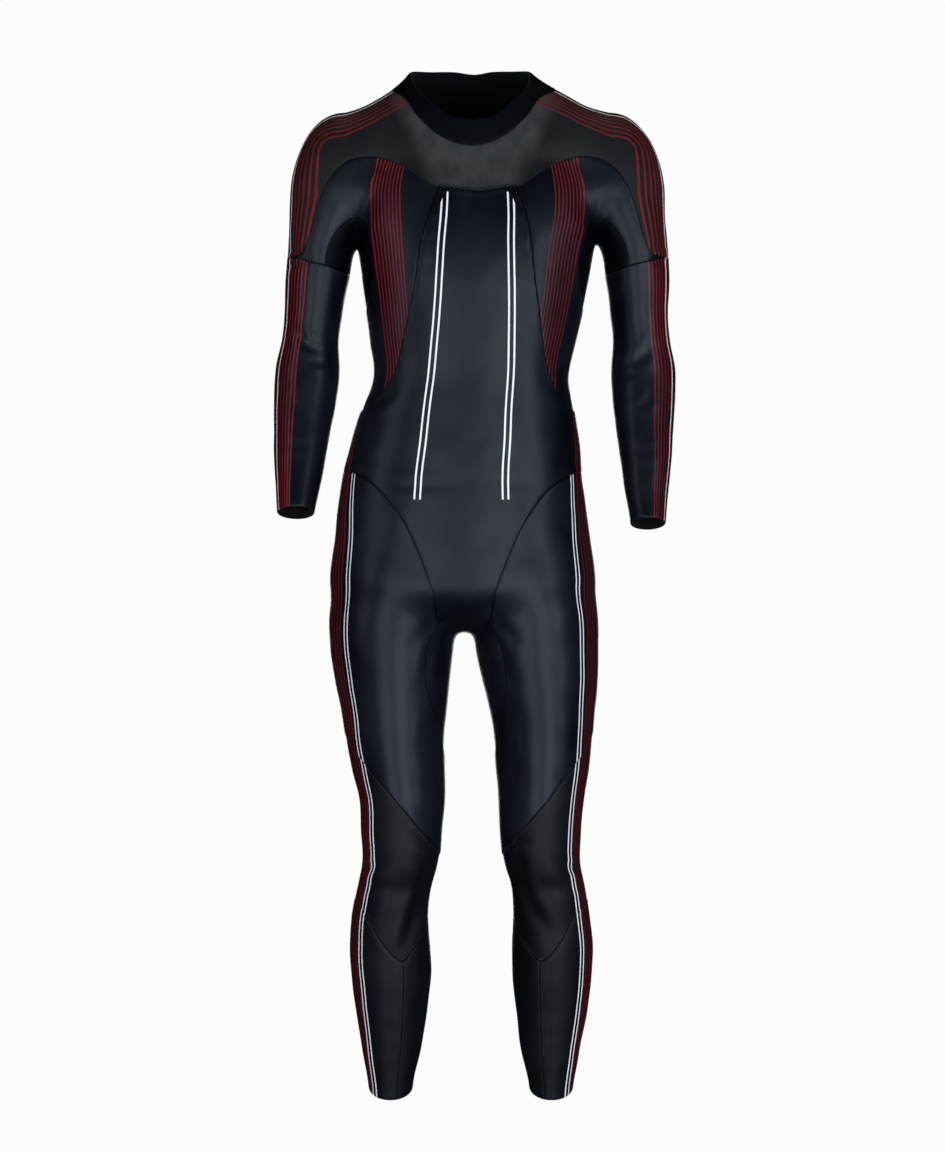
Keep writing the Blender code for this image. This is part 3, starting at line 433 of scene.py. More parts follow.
# Rings of an arm around the shoulder, on the wearer's left.
SHOULDER_RINGS = (
    # inner_x, inner_z, outer_x, outer_z, half_depth
    (0.180, -0.184, 0.226, -0.008, 0.056),
    (0.182, -0.203, 0.258, -0.055, 0.056),
    (0.184, -0.224, 0.270, -0.115, 0.055),
    (0.186, -0.246, 0.2715, -0.178, 0.051),
    (0.187, -0.266, 0.272, -0.235, 0.048),
)
ARM_RING_HEIGHTS = (-0.290, -0.335, -0.380, -0.430, -0.480, -0.530, -0.585)
RIGHT_SHOULDER_SHIFT = -0.012

LEG_RING_HEIGHTS = (
    -0.735, -0.795, -0.855, -0.915, -0.970, -1.025, -1.080, -1.140, -1.200, -1.260, -1.320, -1.380
)
FORK_Z = -0.705


def positions(verts: Iterable[BMVert]) -> Points:
    """The verts' places as rows."""
    return np.array([v.co for v in verts])


class Cage:
    """The coarse cage of the whole suit: a trunk, two arms and two legs."""

    def __init__(self) -> None:
        """Builds the cage's rings and the faces between them."""
        self.bm = bmesh.new()
        self.part_layer = self.bm.faces.layers.int.new("body_part")
        trunk = [self.trunk_ring(r[:3], r[3], r[4:], UPPER_MIDDLE) for r in UPPER_RINGS]
        trunk += [self.straight_ring((z, z, z)) for z in LOWER_RING_HEIGHTS]
        trunk.append(self.straight_ring(FORK_RING))
        columns = {LEFT: SIDE_COLUMN, RIGHT: TRUNK_COLUMNS - SIDE_COLUMN}
        holes = [c + shift for c in columns.values() for shift in (-1, 0)]
        for k in range(len(trunk) - 1):
            skip = holes if ARM_TOP_RING <= k < ARMPIT_RING else ()
            self.bridge(trunk[k], trunk[k + 1], TRUNK, skip)
        for side in (LEFT, RIGHT):
            self.add_arm(trunk, columns[side], side)
        self.add_legs(trunk[-1])
        loose = [v for v in self.bm.verts if not v.link_faces]
        bmesh.ops.delete(self.bm, geom=loose, context="VERTS")
        bmesh.ops.recalc_face_normals(self.bm, faces=self.bm.faces)

    def trunk_ring(
        self, heights: Sequence[float], half_width: float, ends: Sequence[float],
        middle: Sequence[float],
    ) -> list[BMVert]:
        """One ring of the trunk, from the front centre round by the wearer's left.

        Args:
            heights: Its heights at the front, the sides and the back.
            half_width: Its reach to each side.
            ends: Its front's and its back's y.
            middle: Its middle's x and y.

        Returns:
            The ring's verts.
        """
        (front_z, side_z, back_z), (front_y, back_y), (mid_x, mid_y) = heights, ends, middle
        ring = []
        for angle in turns(TRUNK_COLUMNS):
            ahead = math.cos(angle)
            end_z, end_y = (front_z, front_y) if ahead > 0 else (back_z, back_y)
            x = mid_x + half_width * math.sin(angle)
            y = mid_y + (end_y - mid_y) * abs(ahead)
            z = side_z + (end_z - side_z) * ahead**2
            ring.append(self.bm.verts.new((x, y, z)))
        return ring

    def straight_ring(self, heights: Sequence[float]) -> list[BMVert]:
        """A ring of the trunk at such heights, whose reach is its section's."""
        mid_x, mid_y, half_width, front, back = FIGURE.trunk.section(np.array([heights[1]]))[0]
        return self.trunk_ring(heights, half_width, (mid_y - front, mid_y + back), (mid_x, mid_y))

    def limb_ring(
        self, inner: Pair, outer: Pair,
        mid_y: float, half_depth: float, angles: Sequence[float],
    ) -> list[BMVert]:
        """A ring between an inner and an outer point.

        Args:
            inner: The inner point's x and z.
            outer: The outer point's x and z.
            mid_y: The ring's middle, front to back.
            half_depth: Its reach to the front and the back.
            angles: Where its verts are: outer, back, inner, front.

        Returns:
            The ring's verts.
        """
        middle = [(a + b) / 2 for a, b in zip(inner, outer)]
        ring = []
        for angle in angles:
            out, behind = math.cos(angle), math.sin(angle)
            x = middle[0] + (outer[0] - middle[0]) * out
            z = middle[1] + (outer[1] - middle[1]) * out
            ring.append(self.bm.verts.new((x, mid_y + half_depth * behind, z)))
        return ring

    def level_rings(
        self, tube: Tube, side: Side, heights: Sequence[float], angles: Sequence[float]
    ) -> list[list[BMVert]]:
        """Level rings of an arm or a leg, on its own sections.

        Args:
            tube: The limb.
            side: Its side.
            heights: The rings' heights.
            angles: Where a ring's verts are.

        Returns:
            The rings.
        """
        rings = []
        for z in heights:
            mid_x, mid_y, half_width, half_depth, _ = tube.section(np.array([z]))[0]
            inner, outer = (mid_x - side * half_width, z), (mid_x + side * half_width, z)
            rings.append(self.limb_ring(inner, outer, mid_y, half_depth, angles))
        return rings

    def bridge(
        self, ring_a: Sequence[BMVert], ring_b: Sequence[BMVert],
        part: BodyPart, skip: Sequence[int] = (),
    ) -> None:
        """Adds the faces between two rings of the same count.

        Args:
            ring_a: One ring.
            ring_b: The next.
            part: What the faces are part of.
            skip: The columns to leave open.
        """
        count = len(ring_a)
        for i in range(count):
            if i not in skip:
                j = (i + 1) % count
                face = self.bm.faces.new((ring_a[i], ring_b[i], ring_b[j], ring_a[j]))
                face[self.part_layer] = part

    def add_arm(self, trunk: list, column: int, side: Side) -> None:
        """Adds an arm, from its hole in the trunk's rings down to beyond the wrist.

        Args:
            trunk: The trunk's rings.
            column: The trunk's column at the middle of the hole.
            side: The arm's side.
        """
        rings = [[trunk[ARM_TOP_RING + down][column + side * back] for down, back in ARM_HOLE]]
        angles = turns(ARM_COLUMNS)
        shift = RIGHT_SHOULDER_SHIFT if side == RIGHT else 0
        for inner_x, inner_z, outer_x, outer_z, half_depth in SHOULDER_RINGS:
            inner = (side * (inner_x + shift), inner_z)
            outer = (side * (outer_x + shift), outer_z)
            rings.append(self.limb_ring(inner, outer, UNDERARM_MIDDLE_Y, half_depth, angles))
        rings += self.level_rings(FIGURE.arms[side], side, ARM_RING_HEIGHTS, angles)
        for ring_a, ring_b in zip(rings, rings[1:]):
            self.bridge(ring_a, ring_b, ARM)

    def add_legs(self, fork_ring: list) -> None:
        """Adds both legs, which share one strand of the cage under the fork.

        Args:
            fork_ring: The trunk's lowest ring.
        """
        mid_x, mid_y = FIGURE.trunk.section(np.array([FORK_Z]))[0][:2]
        under = self.bm.verts.new((mid_x, mid_y, FORK_Z))
        count = HALF_TRUNK + 2
        for side in (LEFT, RIGHT):
            columns = [(side * k) % TRUNK_COLUMNS for k in range(HALF_TRUNK + 1)]
            top = [fork_ring[c] for c in columns] + [under]
            angles = turns(count, math.pi + 2 * math.pi / count)
            rings = [top]
            rings += self.level_rings(FIGURE.legs[side], side, LEG_RING_HEIGHTS, angles)
            for ring_a, ring_b in zip(rings, rings[1:]):
                self.bridge(ring_a, ring_b, LEG)

    def smoothed(self, levels: int) -> BMesh:
        """The cage subdivided and laid on the figure, level by level.

        Args:
            levels: How many times to subdivide.

        Returns:
            The smooth shell.
        """
        bm = self.bm
        for level in range(levels):
            cage = bpy.data.meshes.new("cage")
            bm.to_mesh(cage)
            bm.free()
            holder = add_object("cage", cage)
            subdivision = holder.modifiers.new("subdivision", "SUBSURF")
            subdivision.levels = subdivision.render_levels = 1
            subdivision.boundary_smooth = "ALL"
            bpy.context.view_layer.update()
            finer = bpy.data.meshes.new_from_object(
                holder.evaluated_get(bpy.context.evaluated_depsgraph_get())
            )
            bm = bmesh.new()
            bm.from_mesh(finer)
            bpy.data.objects.remove(holder)
            bpy.data.meshes.remove(cage)
            bpy.data.meshes.remove(finer)
            steps = LAYING_STEPS if level == 0 else FINE_LAYING_STEPS
            laid = FIGURE.lay(positions(bm.verts), steps)
            for vert, point in zip(bm.verts, laid):
                vert.co = point
        return bm


# --- Seams ---

SEAM_SAMPLES = 120
SNAP_SHARE = 0.25
BEND_SHARE = 0.15

# The neck's edge and the collar's seam, by how far round the neck: 0 at the front.
NECK_MIDDLE = (-0.001, 0.012)
NECK_EDGE = (
    # around, z
    (0.0, -0.010), (20.0, -0.004), (39.0, 0.018), (57.0, 0.040), (70.0, 0.057),
    (90.0, 0.067), (135.0, 0.076), (180.0, 0.080),
)
COLLAR_SEAM = (
    # around, z
    (0.0, -0.046), (15.0, -0.041), (29.0, -0.029), (44.0, -0.006), (58.0, 0.020),
    (80.0, 0.038), (120.0, 0.046), (180.0, 0.042),
)

# The side seam: how far back it runs, by height.
SIDE_SEAM = (
    # z,     y
    (-1.400, 0.046), (-1.150, 0.036), (-0.950, 0.012), (-0.700, 0.030),
    (-0.500, 0.020), (-0.300, 0.012), (-0.100, 0.030), (0.100, 0.030),
)

# Yoke: its lower seam seen from the front, by distance from the middle line.
YOKE_SEAM = (
    # across, z
    (0.000, -0.110), (0.040, -0.104), (0.060, -0.102), (0.084, -0.083), (0.108, -0.070),
    (0.136, -0.059), (0.166, -0.060), (0.190, -0.074), (0.208, -0.100), (0.220, -0.134),
    (0.228, -0.163), (0.238, -0.186), (0.252, -0.193), (0.300, -0.196),
)

# Seams on the trunk and the limbs, by how far round they are: 0 at the front, 90 at the
# outer side.
FRONT_SIDE_SEAM = (
    # around, z
    (15.0, -0.075), (17.5, -0.109), (22.0, -0.143), (26.0, -0.177), (31.5, -0.244),
    (41.5, -0.322), (53.0, -0.375), (69.0, -0.401), (88.0, -0.408), (125.0, -0.410),
)
GROIN_SEAM = (
    # across, z
    (0.030, -0.740), (0.037, -0.690), (0.041, -0.660), (0.050, -0.632), (0.064, -0.597),
    (0.080, -0.562), (0.098, -0.535), (0.120, -0.511), (0.147, -0.494), (0.185, -0.486),
)
SLEEVE_SEAM = (
    # around, z
    (-180.0, -0.196), (-90.0, -0.216), (-45.0, -0.212), (0.0, -0.203), (45.0, -0.196),
    (90.0, -0.190), (180.0, -0.196),
)
ABOVE_KNEE_SEAM = (
    # around, z
    (-100.0, -1.022), (-63.0, -1.008), (-29.0, -0.982), (5.0, -0.943), (43.0, -0.889),
    (90.0, -0.845), (120.0, -0.835),
)
BELOW_KNEE_SEAM = (
    # around, z
    (-100.0, -1.108), (-68.0, -1.128), (-40.0, -1.148), (-18.0, -1.166), (8.0, -1.142),
    (34.0, -1.106), (60.0, -1.090), (120.0, -1.080),
)
SHIN_SEAM_AROUND = -20.0
GUSSET_HALF_SPREAD = (
    # z,    degrees to each side of the inner line
    (-0.900, 0.0), (-0.880, 8.0), (-0.850, 25.0), (-0.810, 46.0), (-0.764, 55.0),
    (-0.725, 53.0), (-0.700, 47.0), (-0.640, 40.0),
)
UNDERARM_CENTRE = (0.165, 0.010, -0.200)
UNDERARM_HALVES = (0.055, 0.085, 0.074)
WAIST_BACK_Z = -0.408
KNEE_BACK_Z = -1.000

# The cuffs are cut square to the forearms, which reach forwards, and the hems slant.
CUFF_Z = {RIGHT: -0.5455, LEFT: -0.5625}
CUFF_SLOPE = 0.32
HEM_FRONT_Z = -1.3635
HEM_FRONT_Y = -0.002
HEM_SLOPE = 0.35

# Middle lines, which the photograph's stance shifts a little.
SHOULDERS_MIDDLE_X = 0.0055
GROIN_MIDDLE_X = -0.0115
LEGS_MIDDLE_X = -0.011
INNER_LINE_AROUND = -90
SLEEVE_SEAM_BACK = 0.004
CUFF_MIDDLE_Y = -0.06

# How far from the middle and how far down some cuts look for faces.
NECK_CUT_REACH, NECK_CUT_LOWEST_Z = 0.13, -0.06
COLLAR_CUT_REACH = 0.16
TAPE_CUT_BELOW = 0.03
YOKE_CUT_LOWEST_Z = -0.26
GUSSET_CUT_LOWEST_Z = -0.93
FLANK_CUT_LOWEST_Z = -0.46

ZIP_TAPE_HALF = 0.013
ZIP_LOWEST_Z = -0.375
CHAIN_TOP_Z = 0.040
CHAIN_LOWEST_Z = -0.367
BACK_FROM_Y = 0.025

DEGREE_ON_TRUNK = 0.0026
DEGREE_ON_LIMB = 0.0010


def around_neck(points: Points) -> Values:
    """How far round the neck each point is, to either side: 0 at the front."""
    across = np.abs(points[:, 0] - NECK_MIDDLE[0])
    return np.degrees(np.arctan2(across, NECK_MIDDLE[1] - points[:, 1]))


def height_on(table: Table, places: Values) -> Values:
    """A table's second column at places in its first, read on a smooth curve."""
    knots, values = np.array(table).T
    return spline(knots, values[:, None], np.clip(places, knots[0], knots[-1]))[:, 0]


def beside(
    table: Table, chart_u: Values, chart_v: Values, u_scale: float = 1.0
) -> Values:
    """How far points of a flat chart are to the left of a seam drawn there.

    Args:
        table: The seam's points on the chart.
        chart_u: The points' first coordinate.
        chart_v: Their second.
        u_scale: Metres in one unit of the first.

    Returns:
        A distance for each.
    """
    knots = np.array(table) * (u_scale, 1)
    places = np.arange(len(knots), dtype=float)
    line = spline(places, knots, np.linspace(0, len(knots) - 1, SEAM_SAMPLES))
    start, step = line[:-1], np.diff(line, axis=0)
    rel_u = chart_u[:, None] * u_scale - start[:, 0]
    rel_v = chart_v[:, None] - start[:, 1]
    share = (rel_u * step[:, 0] + rel_v * step[:, 1]) / (step**2).sum(1)
    share[:, 1:] = np.maximum(share[:, 1:], 0)
    share[:, :-1] = np.minimum(share[:, :-1], 1)
    off_u, off_v = rel_u - share * step[:, 0], rel_v - share * step[:, 1]
    away = np.hypot(off_u, off_v)
    nearest = away.argmin(1)
    row = np.arange(len(chart_u))
    turn = step[nearest, 0] * off_v[row, nearest] - step[nearest, 1] * off_u[row, nearest]
    return away[row, nearest] * np.sign(turn)


def region(
    *parts: BodyPart, side: int = 0, middle_x: float = 0.0, reach: float = math.inf,
    from_y: float = -math.inf, from_z: float = -math.inf,
) -> FaceTest:
    """A test of whether a face is in a stretch of some parts of the body.

    Args:
        parts: The parts.
        side: The side of the middle that the face is on, or 0 for both.
        middle_x: Where that middle is.
        reach: The farthest from x = 0.
        from_y: The lowest y.
        from_z: The lowest z.

    Returns:
        The test, of the face's centre and part.
    """
    def test(centre: Vector, part: int) -> bool:
        """Whether the face is there."""
        beside_middle = not side or (centre.x - middle_x) * side > 0
        inside = abs(centre.x) < reach and centre.y > from_y and centre.z > from_z
        return part in parts and beside_middle and inside

    return test


@dataclass
class Pattern:
    """The smooth shell and the cutting of it into named panels."""

    bm: BMesh

    def __post_init__(self) -> None:
        """Gets ready to say which panel each face is in."""
        self.part_layer = self.bm.faces.layers.int["body_part"]
        self.panel_layer = self.bm.faces.layers.int.new("panel")
        self.names = ["body"]

    def faces_of(self, name: str, where: FaceTest | None = None) -> list[BMFace]:
        """The faces of a panel.

        Args:
            name: The panel.
            where: A test of a face's centre and part, if not all are wanted.

        Returns:
            The faces.
        """
        if name not in self.names:
            return []
        index, layer = self.names.index(name), self.panel_layer
        faces = [f for f in self.bm.faces if f[layer] == index]
        if where is None:
            return faces
        return [f for f in faces if where(f.calc_center_median(), f[self.part_layer])]

    def cut(
        self, new: str, parents: Sequence[str], cut_field: Field,
        where: FaceTest | None = None, snap: bool = True,
    ) -> None:
        """Cuts panels where a field is 0.

        Args:
            new: The name that the side above 0 gets.
            parents: The panels to cut.
            cut_field: The field.
            where: A test of a face's centre and part, if not all are cut.
            snap: Whether verts near the seam move onto it.
        """
        faces = [f for name in parents for f in self.faces_of(name, where)]
        if not faces:
            return
        verts = list({v for f in faces for v in f.verts})
        values = dict(zip(verts, cut_field(positions(verts))))
        if snap:
            self.snap(values)
        edges = {e for f in faces for e in f.edges}
        for edge in sorted(edges, key=lambda e: e.index):
            a, b = edge.verts
            if values[a] * values[b] < 0:
                share = values[a] / (values[a] - values[b])
                _, fresh = bmesh.utils.edge_split(edge, a, share)
                values[fresh] = 0.0
        for face in faces:
            self.split(face, values)
        self.lay(values)
        if new not in self.names:
            self.names.append(new)
        index = self.names.index(new)
        old = {self.names.index(name) for name in parents}
        for face in {f for v in values for f in v.link_faces}:
            known = [values.get(v) for v in face.verts]
            if None in known or face[self.panel_layer] not in old:
                continue
            if where and not where(face.calc_center_median(), face[self.part_layer]):
                continue
            if sum(known) > 0:
                face[self.panel_layer] = index
        self.bm.verts.index_update()
        self.bm.edges.index_update()

    def on_seam(self, edge: BMEdge) -> bool:
        """Whether an edge lies between panels or on the rim."""
        panels = {f[self.panel_layer] for f in edge.link_faces}
        return len(panels) > 1 or len(edge.link_faces) < 2

    def snap(self, values: dict) -> None:
        """Moves verts that are nearly on the new seam onto it, along one of their edges.

        Args:
            values: The field at each vert, set to 0 where one is moved.
        """
        for vert in sorted(values, key=lambda v: v.index):
            value = values[vert]
            if value == 0:
                continue
            shares = []
            for edge in vert.link_edges:
                other = edge.other_vert(vert)
                if other in values and values[other] * value < 0:
                    share = value / (value - values[other])
                    shares.append((share, edge.index, self.on_seam(edge), other))
            if not shares:
                continue
            held = sum(self.on_seam(e) for e in vert.link_edges)
            slides = [s for s in shares if s[2]] if held else shares
            if slides and held in (0, 2) and min(slides)[0] < SNAP_SHARE:
                share, _, _, other = min(slides)
                vert.co = vert.co.lerp(other.co, share)
                values[vert] = 0.0
            elif held and min(shares)[0] < BEND_SHARE:
                values[vert] = 0.0

    @staticmethod
    def split(face: BMFace, values: dict) -> None:
        """Splits a face between the verts where the seam enters and leaves it.

        Args:
            face: The face.
            values: The field at each vert.
        """
        ring = list(face.verts)
        on = [k for k, v in enumerate(ring) if values.get(v) == 0.0]
        for a in on:
            for b in on:
                if b - a < 2 or b - a > len(ring) - 2:
                    continue
                one = sum(values.get(v, 0) for v in ring[a + 1 : b])
                other = sum(values.get(v, 0) for v in ring[b + 1 :] + ring[:a])
                if one * other < 0:
                    bmesh.utils.face_split(face, ring[a], ring[b])
                    return

    @staticmethod
    def lay(values: dict) -> None:
        """Lays the verts of the new seam on the figure again.

        Args:
            values: The field at each vert, 0 on the seam.
        """
        on = [v for v, value in values.items() if value == 0.0]
        if on:
            for vert, point in zip(on, FIGURE.lay(positions(on), FINE_LAYING_STEPS)):
                vert.co = point

    def rename(self, old: str, new: str) -> None:
        """Gives a panel its final name."""
        self.names[self.names.index(old)] = new

    def drop(self, name: str) -> None:
        """Removes what was cut off."""
        bmesh.ops.delete(self.bm, geom=self.faces_of(name), context="FACES")


@dataclass
class SeamPlan:
    """The order and the lines in which the shell is cut into the suit's panels."""

    pattern: Pattern

    def follow(self) -> None:
        """Cuts the whole pattern."""
        self.cut_rims()
        self.cut_back_zip()
        self.cut_upper()
        self.cut_lower()
        self.pattern.rename("body", "front_body")

    def cut_rims(self) -> None:
        """Opens the neck, the cuffs and the hems."""
        cut = self.pattern.cut
        cut(
            "offcut", ["body"],
            lambda p: p[:, 2] - height_on(NECK_EDGE, around_neck(p)),
            region(TRUNK, reach=NECK_CUT_REACH, from_z=NECK_CUT_LOWEST_Z),
        )
        for side in Side:
            cut(
                "offcut", ["body"],
                lambda p, s=side: CUFF_Z[s]
                - CUFF_SLOPE * (p[:, 1] - CUFF_MIDDLE_Y) - p[:, 2],
                region(ARM, side=side),
            )
        cut(
            "offcut", ["body"],
            lambda p: HEM_FRONT_Z + HEM_SLOPE * (p[:, 1] - HEM_FRONT_Y) - p[:, 2],
            region(LEG),
        )
        self.pattern.drop("offcut")

    def cut_back_zip(self) -> None:
        """The collar, and the zip's tape with the bed of its chain."""
        cut, middle_x = self.pattern.cut, FIGURE.middle_x
        cut(
            "collar", ["body"],
            lambda p: p[:, 2] - height_on(COLLAR_SEAM, around_neck(p)),
            region(TRUNK, reach=COLLAR_CUT_REACH),
        )
        cut(
            "zip_tape", ["body", "collar"],
            lambda p: ZIP_TAPE_HALF - np.abs(p[:, 0] - middle_x(p)),
            region(TRUNK, from_y=BACK_FROM_Y, from_z=ZIP_LOWEST_Z - TAPE_CUT_BELOW),
        )
        cut("body", ["zip_tape"], lambda p: ZIP_LOWEST_Z - p[:, 2])

    def cut_upper(self) -> None:
        """The yoke, the sleeves and the underarm gussets."""
        cut = self.pattern.cut
        cut(
            "yoke", ["body"],
            lambda p: beside(YOKE_SEAM, np.abs(p[:, 0] - SHOULDERS_MIDDLE_X), p[:, 2]),
            region(TRUNK, ARM, from_z=YOKE_CUT_LOWEST_Z),
        )
        for side in Side:
            arm = FIGURE.arms[side]
            cut(
                f"sleeve_front_{side.mark}", ["body", "yoke"],
                lambda p, s=side, a=arm: height_on(SLEEVE_SEAM, a.around(s, p)) - p[:, 2],
                region(ARM, side=side),
            )
            centre = np.array(UNDERARM_CENTRE) + (SHOULDERS_MIDDLE_X * side, 0, 0)
            cut(
                f"underarm_{side.mark}", ["body"],
                lambda p, s=side, o=centre: 1 - np.linalg.norm(
                    (p * (s, 1, 1) - o) / UNDERARM_HALVES, axis=1
                ),
                region(TRUNK, ARM, side=side),
            )
            cut(
                f"sleeve_back_{side.mark}", [f"sleeve_front_{side.mark}"],
                lambda p, a=arm: p[:, 1] - a.section(p[:, 2])[:, 1] - SLEEVE_SEAM_BACK,
            )

    def cut_lower(self) -> None:
        """Fork gusset, back, seat, calves, flanks, thighs, knees and shins."""
        cut = self.pattern.cut
        for side in Side:
            cut(
                "gusset", ["body"],
                lambda p, s=side: height_on(GUSSET_HALF_SPREAD, p[:, 2])
                - np.abs(FIGURE.legs[s].around(s, p) - INNER_LINE_AROUND),
                region(LEG, side=side, middle_x=LEGS_MIDDLE_X, from_z=GUSSET_CUT_LOWEST_Z),
            )
        cut("back_R", ["body"], lambda p: p[:, 1] - height_on(SIDE_SEAM, p[:, 2]))
        cut("seat_R", ["back_R"], lambda p: WAIST_BACK_Z - p[:, 2])
        cut("calf_R", ["seat_R"], lambda p: KNEE_BACK_Z - p[:, 2])
        for kind in ("back", "seat", "calf"):
            cut(f"{kind}_L", [f"{kind}_R"], lambda p: p[:, 0] - FIGURE.middle_x(p))
        for side in Side:
            self.cut_front(side)

    def cut_front(self, side: Side) -> None:
        """One side's flank, thigh, knee and shin.

        Args:
            side: The side.
        """
        cut, mark, leg = self.pattern.cut, side.mark, FIGURE.legs[side]
        cut(
            f"flank_{mark}", ["body"],
            lambda p: beside(
                FRONT_SIDE_SEAM, FIGURE.trunk.around(side, p), p[:, 2], DEGREE_ON_TRUNK
            ),
            region(TRUNK, ARM, side=side, from_z=FLANK_CUT_LOWEST_Z),
        )
        cut(
            f"thigh_{mark}", ["body"],
            lambda p: -beside(GROIN_SEAM, (p[:, 0] - GROIN_MIDDLE_X) * side, p[:, 2]),
            region(*BodyPart, side=side, middle_x=LEGS_MIDDLE_X),
        )
        cut(
            f"knee_{mark}", [f"thigh_{mark}"],
            lambda p: -beside(ABOVE_KNEE_SEAM, leg.around(side, p), p[:, 2], DEGREE_ON_LIMB),
            region(LEG),
        )
        cut(
            f"shin_outer_{mark}", [f"knee_{mark}"],
            lambda p: -beside(BELOW_KNEE_SEAM, leg.around(side, p), p[:, 2], DEGREE_ON_LIMB),
        )
        cut(
            f"shin_inner_{mark}", [f"shin_outer_{mark}"],
            lambda p: SHIN_SEAM_AROUND - leg.around(side, p),
        )


# --- Creases and printed lines ---

# Both sides of a crease bulge up in banks, and it fades out where the surface turns away.
CREASE_BANK_PLACE, CREASE_BANK_WIDTH, CREASE_BANK_HEIGHT = 1.7, 0.8, 0.45
CREASE_GONE_FACING, CREASE_FULL_FACING = -0.1, 0.5


@dataclass(frozen=True)
class Crease:
    """A fold of the rubber, placed on the front or the back of the suit."""

    x: float
    z: float
    turn: float
    half_length: float
    half_width: float
    depth: float
    bow: float = 0.0
    front: bool = True

    def height(self, points: Points, normals: Points) -> Values:
        """How far the crease moves each point out of the surface.

        Args:
            points: The points, as rows.
            normals: Their outward normals.

        Returns:
            A height for each, less than 0 in the crease's bed.
        """
        angle = math.radians(self.turn)
        off_x, off_z = points[:, 0] - self.x, points[:, 2] - self.z
        along = off_x * math.cos(angle) + off_z * math.sin(angle)
        share = along / self.half_length
        across = off_z * math.cos(angle) - off_x * math.sin(angle) - self.bow * share**2
        place = across / self.half_width
        bed = np.exp(-(place**2))
        banks = np.exp(-((np.abs(place) - CREASE_BANK_PLACE) ** 2) / CREASE_BANK_WIDTH)
        fade = np.exp(-(share**2))
        facing = -normals[:, 1] if self.front else normals[:, 1]
        fade = fade * smooth_step(CREASE_GONE_FACING, CREASE_FULL_FACING, facing)
        return self.depth * fade * (CREASE_BANK_HEIGHT * banks - bed)


# A row is a fold on the right and on the left of the suit, or on one side alone.
FRONT_CREASES = (
    # (x, z, turn) of each, half_length, half_width, depth, bow
    # Elbows.
    (((-0.224, -0.318, -28), (0.228, -0.338, 26)), 0.026, 0.0075, 0.0020, 0.006),
    (((-0.212, -0.338, -8), (0.216, -0.356, 6)), 0.020, 0.0060, 0.0014, 0.004),
    (((-0.238, -0.300, -50), (0.242, -0.318, 48)), 0.018, 0.0060, 0.0012),
    (((0.241, -0.392, 62),), 0.020, 0.0055, 0.0020, 0.008),
    (((-0.243, -0.402, -66),), 0.018, 0.0055, 0.0014, 0.006),
    (((0.240, -0.463, 4),), 0.020, 0.0045, 0.0012, 0.003),
    (((-0.242, -0.455, -6),), 0.018, 0.0045, 0.0010, 0.003),
    # Where the sleeve seams cross at the outer arms.
    (((-0.243, -0.186, -20), (0.258, -0.178, 20)), 0.014, 0.0050, 0.0026),
    (((-0.238, -0.203, 22), (0.252, -0.197, -22)), 0.016, 0.0050, 0.0020),
    (((-0.246, -0.168, 70), (0.262, -0.158, -70)), 0.014, 0.0050, 0.0014),
    # From the armpits across the chest.
    (((-0.150, -0.152, 58), (0.161, -0.152, -58)), 0.034, 0.0090, 0.0026, 0.006),
    (((-0.160, -0.205, 84), (0.171, -0.205, -84)), 0.040, 0.0080, 0.0020),
    # Waist and belly.
    (((-0.128, -0.398, 24), (0.130, -0.394, -24)), 0.026, 0.0070, 0.0028, 0.004),
    (((-0.082, -0.512, -2),), 0.052, 0.0060, 0.0012, 0.004),
    (((0.075, -0.507, 3),), 0.046, 0.0060, 0.0009, 0.004),
    (((-0.142, -0.478, -14), (0.140, -0.474, 14)), 0.026, 0.0070, 0.0018, 0.004),
    # From the fork up the groin.
    (((-0.052, -0.690, 62), (0.034, -0.690, -62)), 0.030, 0.0070, 0.0020, 0.004),
    (((-0.060, -0.742, 78), (0.044, -0.742, -78)), 0.034, 0.0070, 0.0014),
    # Above, beside and below the knees.
    (((-0.072, -1.000, -28), (0.068, -1.002, 28)), 0.024, 0.0065, 0.0024, 0.004),
    (((-0.066, -1.030, -8), (0.062, -1.032, 8)), 0.022, 0.0060, 0.0022, 0.004),
    (((-0.070, -1.058, 18), (0.066, -1.060, -18)), 0.020, 0.0060, 0.0016, 0.003),
    (((-0.136, -1.036, 24), (0.132, -1.036, -24)), 0.020, 0.0060, 0.0018, 0.004),
    (((-0.126, -1.064, 6), (0.122, -1.064, -6)), 0.022, 0.0060, 0.0012, 0.003),
    # From the inner knees down to the tips of the knee panels, and under the kneecaps.
    (((-0.068, -1.070, 78), (0.070, -1.068, -74)), 0.048, 0.0090, 0.0034, 0.004),
    (((-0.084, -1.108, 74), (0.090, -1.094, -64)), 0.034, 0.0080, 0.0026),
    (((-0.104, -1.068, 14), (0.098, -1.066, -14)), 0.026, 0.0130, 0.0012, 0.006),
    # Shins and calves, near the hems.
    (((-0.112, -1.262, -12), (0.110, -1.270, 12)), 0.024, 0.0080, 0.0005, 0.003),
    (((-0.112, -1.322, 8), (0.109, -1.328, -8)), 0.018, 0.0070, 0.0004, 0.002),
)
